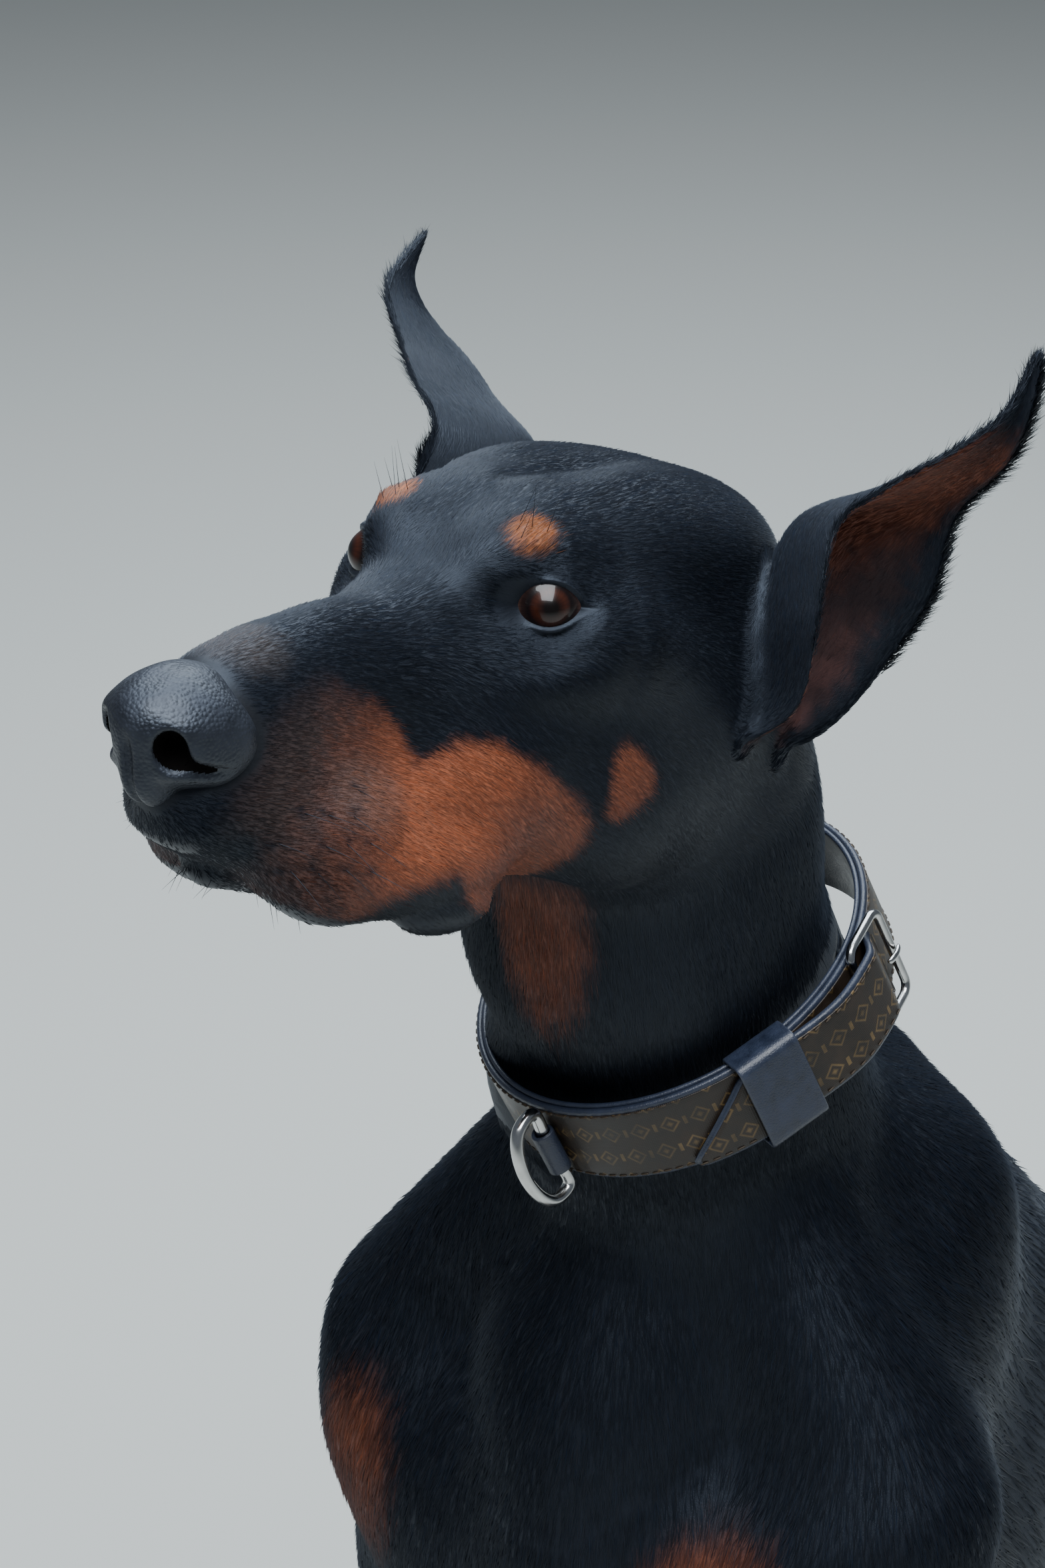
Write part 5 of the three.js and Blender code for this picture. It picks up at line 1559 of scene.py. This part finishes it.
def end_rings(outline, raise_by, short_by):
    rings, plan = [], []
    height = outline[:, 1]
    start = short_by + tip_at(height)
    start = start + 2.2 * smooth(np.abs(height), END_WIDTH / 2 - 5, END_WIDTH / 2) ** 2
    for share in np.linspace(0, 1, END_COLUMNS) ** 1.15:
        angle = start + (END_ROOT - start) * share
        thin = np.clip(share / 0.02, 0.35, 1)
        out = STRAP_THICKNESS + GAP + slack_at(angle) + raise_by + outline[:, 0] * thin
        rings.append(on_strap(angle, out, height))
        plan.append(np.stack([angle / 360 * ROUND * MM + 0.004, height * MM + 0.002], axis=1))
    return np.array(rings), np.array(plan)


outline = rounded(END_THICKNESS / 2, END_WIDTH / 2, 1.4, 2.0)
free_end = loft("free_end_leather", [end_rings(outline, END_THICKNESS / 2, 0)[0]])
leather.cover(free_end)
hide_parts("collar_free_end")
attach(free_end, "root")
outline = rounded(FACING_PROUD, END_WIDTH / 2 - 1.7, FACING_ROUND, 2.0)
rings, plan = end_rings(outline, END_THICKNESS + FACING_LIFT, FACING_INSET)
free_end_facing = loft("free_end_facing", [rings], plan=plan)
canvas.cover(free_end_facing)
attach(free_end_facing, "root")

# Stitches along both edges of the strap and the free end, in waxed brown thread, each
# sunk into the canvas at its two ends.
STITCH_STEP = 4.4
STITCH_LENGTH = 3.1
STITCH_RADIUS = 0.34
STITCH_PROUD = 0.15
STRAP_SEAM, END_SEAM = 14.3, 12.9
# Angles between which the free end hides the strap's seams, and the keeper the free end's
UNDER_END, UNDER_KEEPER = (33, 106), (50, 68)
SEAM_MARGIN, SEAM_END = 3, 100
# Share along a stitch, thickness there and how far it lies above the canvas
STITCH_RINGS = ((-0.5, 0.25, -0.55), (-0.36, 0.9, 0), (0, 1, 0), (0.36, 0.9, 0), (0.5, 0.25, -0.55))


def circle(count):
    """Cosines and sines round a circle."""
    turns = np.linspace(0, 2 * math.pi, count, endpoint=False)
    return np.stack([np.cos(turns), np.sin(turns)], axis=1)


def stitch(angle, out, height):
    middle, (up, way, across) = strap_frame(angle, out)
    place = middle + across * height
    side = np.cross(way, up)
    rings = []
    for share, thick, lift in STITCH_RINGS:
        centre = place + way * share * STITCH_LENGTH + up * lift * STITCH_RADIUS
        rings.append(centre + STITCH_RADIUS * thick * (circle(6) @ (side, up)))
    return np.array(rings)


step = STITCH_STEP / ROUND * 360
seam_out = FACING_PROUD + STITCH_PROUD
sewn = []
for height in (-STRAP_SEAM, STRAP_SEAM):
    for angle in np.arange(0, 360, step):
        if not UNDER_END[0] < angle < UNDER_END[1]:
            sewn.append(stitch(angle, STRAP_THICKNESS + seam_out, height))
for height in (-END_SEAM, END_SEAM):
    for angle in np.arange(tip_at(height) + SEAM_MARGIN, SEAM_END, step):
        if not UNDER_KEEPER[0] < angle < UNDER_KEEPER[1]:
            out = STRAP_THICKNESS + GAP + float(slack_at(angle)) + END_THICKNESS + seam_out
            sewn.append(stitch(angle, out, height))
stitches = loft("stitches", sewn)
thread = Finish("waxed_thread", Roughness=0.55, Specular_IOR_Level=0.4)
twist = thread.add(
    "TexWave", {"bands_direction": "DIAGONAL"}, Vector=thread.place(), Scale=900.0, Distortion=2.0)
thread.feed(
    Base_Color=thread.ramp(twist, (0.2, (0.02, 0.013, 0.008)), (0.8, (0.05, 0.033, 0.018))),
    Normal=thread.bump(twist, 0.4, 0.1),
)
thread.cover(stitches)
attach(stitches, "root")

# Keeper: a loop of thin black leather, its corners rounded, that goes round the strap and
# holds the free end down.
KEEPER_ANGLE = 59
KEEPER_WIDTH = 24
KEEPER_WALL = 1.6
KEEPER_ROOM_OUT, KEEPER_ROOM_UP = 1.9, 1.3
KEEPER_BOW, BOW_REACH = 0.35, 19


def swept(path, section, middle, axes):
    """Rings of a section round a closed flat path, whose plane has the first and last axes."""
    ahead = unit(np.roll(path, -1, axis=0) - np.roll(path, 1, axis=0))
    rings = []
    for spot, way in zip(path, ahead):
        cross = spot + section[:, :1] * (way[1], -way[0])
        rings.append(middle + np.insert(cross, 1, section[:, 1], axis=1) @ axes)
    return np.array(rings)


stack = STRAP_THICKNESS + GAP + END_THICKNESS
middle, axes = strap_frame(KEEPER_ANGLE, stack / 2)
path = rounded(stack / 2 + KEEPER_ROOM_OUT, STRAP_WIDTH / 2 + KEEPER_ROOM_UP, 2.6, 1.6, steps=7)
wall = rounded(KEEPER_WALL / 2, KEEPER_WIDTH / 2, 0.75, 2.0)
from_middle = np.minimum(np.abs(path[:, 1]) / BOW_REACH, 1)
bow = KEEPER_BOW * np.cos(from_middle * math.pi / 2) * (path[:, 0] > 0)
rings = swept(path, wall, middle, axes) + (bow[:, None] * axes[0])[:, None]
keeper = loft("keeper", [rings], closed=True)
leather.cover(keeper)
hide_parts("collar_keeper")
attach(keeper, "root")

# Buckle: a frame of thick polished steel wire with round corners that lies on the strap,
# and a prong whose tip lies on its rear bar.
BUCKLE_ANGLE = 102
BUCKLE_LENGTH, BUCKLE_STOCK = 27, 3.4
BUCKLE_FRONT, BUCKLE_REAR = 1.5, 4.6
WIRE_SIDES = 16
PRONG_STEPS = 18
PRONG_START, PRONG_LENGTH = 4.2, 9.6
PRONG_RADIUS = 1.35
steel = Finish("polished_steel", Metallic=1.0)
haze = steel.noise(140, 4)
scratches = steel.noise(1500, 6, 0.7, steel.place((1, 1, 0.12)))
steel.feed(
    Base_Color=steel.ramp(haze, (0.3, (0.5, 0.5, 0.49)), (0.7, (0.66, 0.66, 0.65))),
    Roughness=steel.ramp(haze, (0.3, 0.12), (0.75, 0.27)),
    Normal=steel.bump(scratches, 0.06, 0.08),
)
rearward = (BUCKLE_LENGTH - BUCKLE_STOCK) / 2
rail_height = STRAP_WIDTH / 2 + GAP + BUCKLE_STOCK / 2
tilt = math.atan2(BUCKLE_REAR - BUCKLE_FRONT, 2 * rearward)
middle, axes = strap_frame(BUCKLE_ANGLE, STRAP_THICKNESS + (BUCKLE_FRONT + BUCKLE_REAR) / 2)
# Along, out and up
buckle_axes = np.array((
    axes[1] * math.cos(tilt) + axes[0] * math.sin(tilt),
    axes[0] * math.cos(tilt) - axes[1] * math.sin(tilt),
    axes[2],
))
path = rounded(rearward, rail_height, 4.5, 1.8, steps=9)
rings = swept(path, circle(WIRE_SIDES) * BUCKLE_STOCK / 2, middle, buckle_axes)
buckle = loft("buckle_frame", [rings], closed=True)
prong_rings = []
for share in np.linspace(0, 1, PRONG_STEPS):
    along = PRONG_START + PRONG_LENGTH * share
    thick = PRONG_RADIUS * math.sqrt(max(1 - (2 * share - 1) ** 6, 0.02)) * (1 - 0.25 * share)
    rise = 2.2 + 1.1 * math.sin(share * math.pi)
    across, out = (circle(WIRE_SIDES) * thick).T
    local = np.stack([np.full(WIRE_SIDES, along), rise + out * 0.8, across], axis=1)
    prong_rings.append(middle + local @ buckle_axes)
prong = loft("buckle_prong", [np.array(prong_rings)])
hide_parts("collar_buckle")
for piece in (buckle, prong):
    steel.cover(piece)
    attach(piece, "root")

# Ring: a D of thick polished wire, its straight bar in a loop of folded leather that is
# sewn to the strap.
RING_ANGLE = -7
RING_WIRE = 2.4
RING_STEPS = 12
RING_MARKS = np.array((
    (0, -17), (0, -6), (0, 6), (0, 17), (8, 17.5), (13, 11), (15, 0), (13, -11), (8, -17.5),
), float)
LOOP_RADIUS, LOOP_LENGTH = 4.2, 18
LOOP_MIDDLE, LOOP_WALL = 3.45, 1.4
LOOP_STEPS = 40
LOOP_PINCH = 0.12
middle, axes = strap_frame(RING_ANGLE, STRAP_THICKNESS + GAP + LOOP_RADIUS)
count = len(RING_MARKS)
marks_round = RING_MARKS[np.arange(-1, count + 2) % count]
path = through(marks_round, 1 + np.arange(count * RING_STEPS) / RING_STEPS)
lead_ring = loft("lead_ring", [swept(path, circle(WIRE_SIDES) * RING_WIRE, middle, axes)], closed=True)
steel.cover(lead_ring)
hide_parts("collar_ring")
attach(lead_ring, "root")
wall = rounded(LOOP_WALL / 2, LOOP_LENGTH / 2, 0.55, 1.6)
loop_rings = []
for cosine, sine in circle(LOOP_STEPS):
    radius = LOOP_MIDDLE + wall[:, 0]
    local = np.stack([cosine * radius * (1 + LOOP_PINCH * cosine), sine * radius, wall[:, 1]], axis=1)
    loop_rings.append(middle + local @ axes)
ring_loop = loft("ring_loop", [np.array(loop_rings)], closed=True)
leather.cover(ring_loop)
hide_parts("collar_ring_loop")
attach(ring_loop, "root")

# Longer hairs: a fringe that grows along the rims of the ears, and single black whiskers
# on the muzzle, brows and chin, with their roots just under the skin.
FRINGE_START, FRINGE_COUNT = 18, 1300
FRINGE_LENGTHS, FRINGE_WIDTHS = (2.5, 7.5), (0.14, 0.26)
FRINGE_RISE = 0.85
WHISKER_STEPS, WHISKER_SIDES = 8, 5
WHISKER_RADIUS = 0.14
WHISKER_TAPER = 0.85
WHISKER_SUNK = 0.6
STRAY = 0.18
rim_roots, rim_ways, rim_outs, rim_facts = [], [], [], []
for s in SIDES:
    grid, facts = ears[s]
    upwards = np.gradient(grid, axis=0)
    cup_middle = grid.mean(axis=1)
    for column, lean in ((0, 0.3), (EAR_ARC - 1, 0.4)):
        for ring in np.linspace(FRINGE_START, EAR_RINGS - 2, FRINGE_COUNT):
            k = int(ring)
            away = unit(grid[k, column] - cup_middle[k])
            rim_roots.append(grid[k, column] + (grid[k + 1, column] - grid[k, column]) * (ring - k))
            rim_ways.append(unit(unit(upwards[k, column]) * FRINGE_RISE + away * lean))
            rim_outs.append(away)
            rim_facts.append(facts[k, column])
count = len(rim_roots)
rim_roots = head_to_body(np.array(rim_roots) + random.normal(0, 0.5, (count, 3)))
rim_ways = np.array(rim_ways) @ head_axes + random.normal(0, STRAY, (count, 3))
rim_outs = np.array(rim_outs) @ head_axes
tuft_piece(
    "ear_fringe", rim_roots, rim_ways, unit(np.cross(rim_ways, np.cross(rim_outs, rim_ways))),
    random.uniform(*FRINGE_LENGTHS, count), random.uniform(*FRINGE_WIDTHS, count),
    np.radians(random.normal(4, 6, count)), BLACK * random.lognormal(0, 0.3, (count, 1)),
    unwrapped(rim_roots, np.array(rim_facts), np.ones(count)),
)


def whisker(root, way, length, droop):
    """Rings round a hair that tapers and bows down, from a root in the hide."""
    side = unit(np.cross(way, (0.1, 0.2, 1)))
    rings = []
    for share in np.linspace(0, 1, WHISKER_STEPS):
        middle = root + way * length * share + np.array((0, 0, -droop)) * length * share ** 2
        thick = WHISKER_RADIUS * (1 - WHISKER_TAPER * share)
        rings.append(middle + thick * (circle(WHISKER_SIDES) @ (side, np.cross(side, way))))
    return np.array(rings)


BROW_HAIRS = ((10, 24, 23), (5, 27, 25), (2, 31, 23), (12, 28, 21), (6, 22, 25))
CHIN_HAIRS = ((108, 8, -92), (100, 14, -94), (92, 18, -97), (84, 10, -98), (112, 3, -89), (74, 16, -99))
hairs = []
for s in SIDES:
    # Roots, direction, shortest and longest, and how far a hair bows down
    for rows, way, lengths, droop in (
        (WHISKER_ROOTS, (-0.25, 0.85 * s, -0.3), (10, 22), 0.12),
        (BROW_HAIRS, (0.15, 0.4 * s, 0.9), (9, 17), -0.05),
        (CHIN_HAIRS, (0.2, 0.3 * s, -0.9), (5, 11), 0.05),
    ):
        for row in rows:
            root = head_to_body(np.array(row) * (1, s, 1))[None]
            root = settle(root, Flesh(root).depth, -COAT_DEPTH - WHISKER_SUNK, rounds=8)[0]
            aim = unit(np.array(way) + random.normal(0, STRAY, 3)) @ head_axes
            hairs.append(whisker(root, aim, random.uniform(*lengths), droop))
whiskers = loft("whiskers", hairs)
roots = np.array([rings[0].mean(0) for rings in hairs])
no_ear = np.zeros((len(roots), 4))
patch = np.stack(np.meshgrid(
    np.linspace(-1, 1, WHISKER_SIDES), np.linspace(-1, 1, WHISKER_STEPS)), axis=-1) * PATCH
map_points(whiskers, "OFBake", unwrapped(roots, no_ear, no_ear[:, 0])[:, None, None] + patch)
paint(whiskers, "hair", np.tile(BLACK * 0.8, (len(whiskers.data.vertices), 1)))
coat_hair.cover(whiskers)
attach(whiskers, "root")

# The camera stands ahead and to the left of the dog, a little above its head, with a
# portrait lens.
LENS_MM, SENSOR_MM = 85, 36
LOOK_DOWN = math.radians(27)
LOOK_FROM = math.radians(36)
CAMERA_FROM_EYES = Vector((0.6373, -0.8432, 0.4656))
camera_data = bpy.data.cameras.new("camera")
camera_data.lens = LENS_MM
camera_data.sensor_width = SENSOR_MM
camera = link("camera", camera_data)
camera.location = Vector(head_origin) + CAMERA_FROM_EYES
camera.rotation_euler = (math.pi / 2 - LOOK_DOWN, 0, LOOK_FROM)
bpy.context.scene.camera = camera

# The floor: a plain pale sheet that the dog sits on, wide enough to fill the camera's
# picture behind it
FLOOR_SIZE = 14
bpy.ops.object.select_all(action="DESELECT")
bpy.ops.mesh.primitive_plane_add(size=FLOOR_SIZE)
floor = bpy.context.active_object
floor.name = "floor"
Finish("floor_pale", Base_Color=(0.52, 0.53, 0.5, 1), Roughness=0.85).cover(floor)
floor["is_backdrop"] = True

# Soft light: a dim cool room, a wide sheet above the dog on the camera's side, and a
# second sheet high behind it
world = bpy.data.worlds.new("studio")
world.use_nodes = True
world.node_tree.nodes["Background"].inputs["Color"].default_value = (0.76, 0.86, 1, 1)
world.node_tree.nodes["Background"].inputs["Strength"].default_value = 0.17
bpy.context.scene.world = world


def sheet_light(name, place, target, size, watts, colour):
    light = bpy.data.lights.new(name, "AREA")
    light.energy = watts
    light.size = size
    light.color = colour
    lamp = link(name, light)
    lamp.location = place
    lamp.rotation_euler = (Vector(target) - Vector(place)).to_track_quat("-Z", "Y").to_euler()


sheet_light("overhead", (0.35, -0.75, 2.7), (0, -0.1, 0.75), 1.9, 122, (0.92, 0.96, 1))
sheet_light("behind", (-0.7, 1.2, 2.6), (0, 0, 0.7), 2.2, 85, (0.8, 0.9, 1))

low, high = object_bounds()
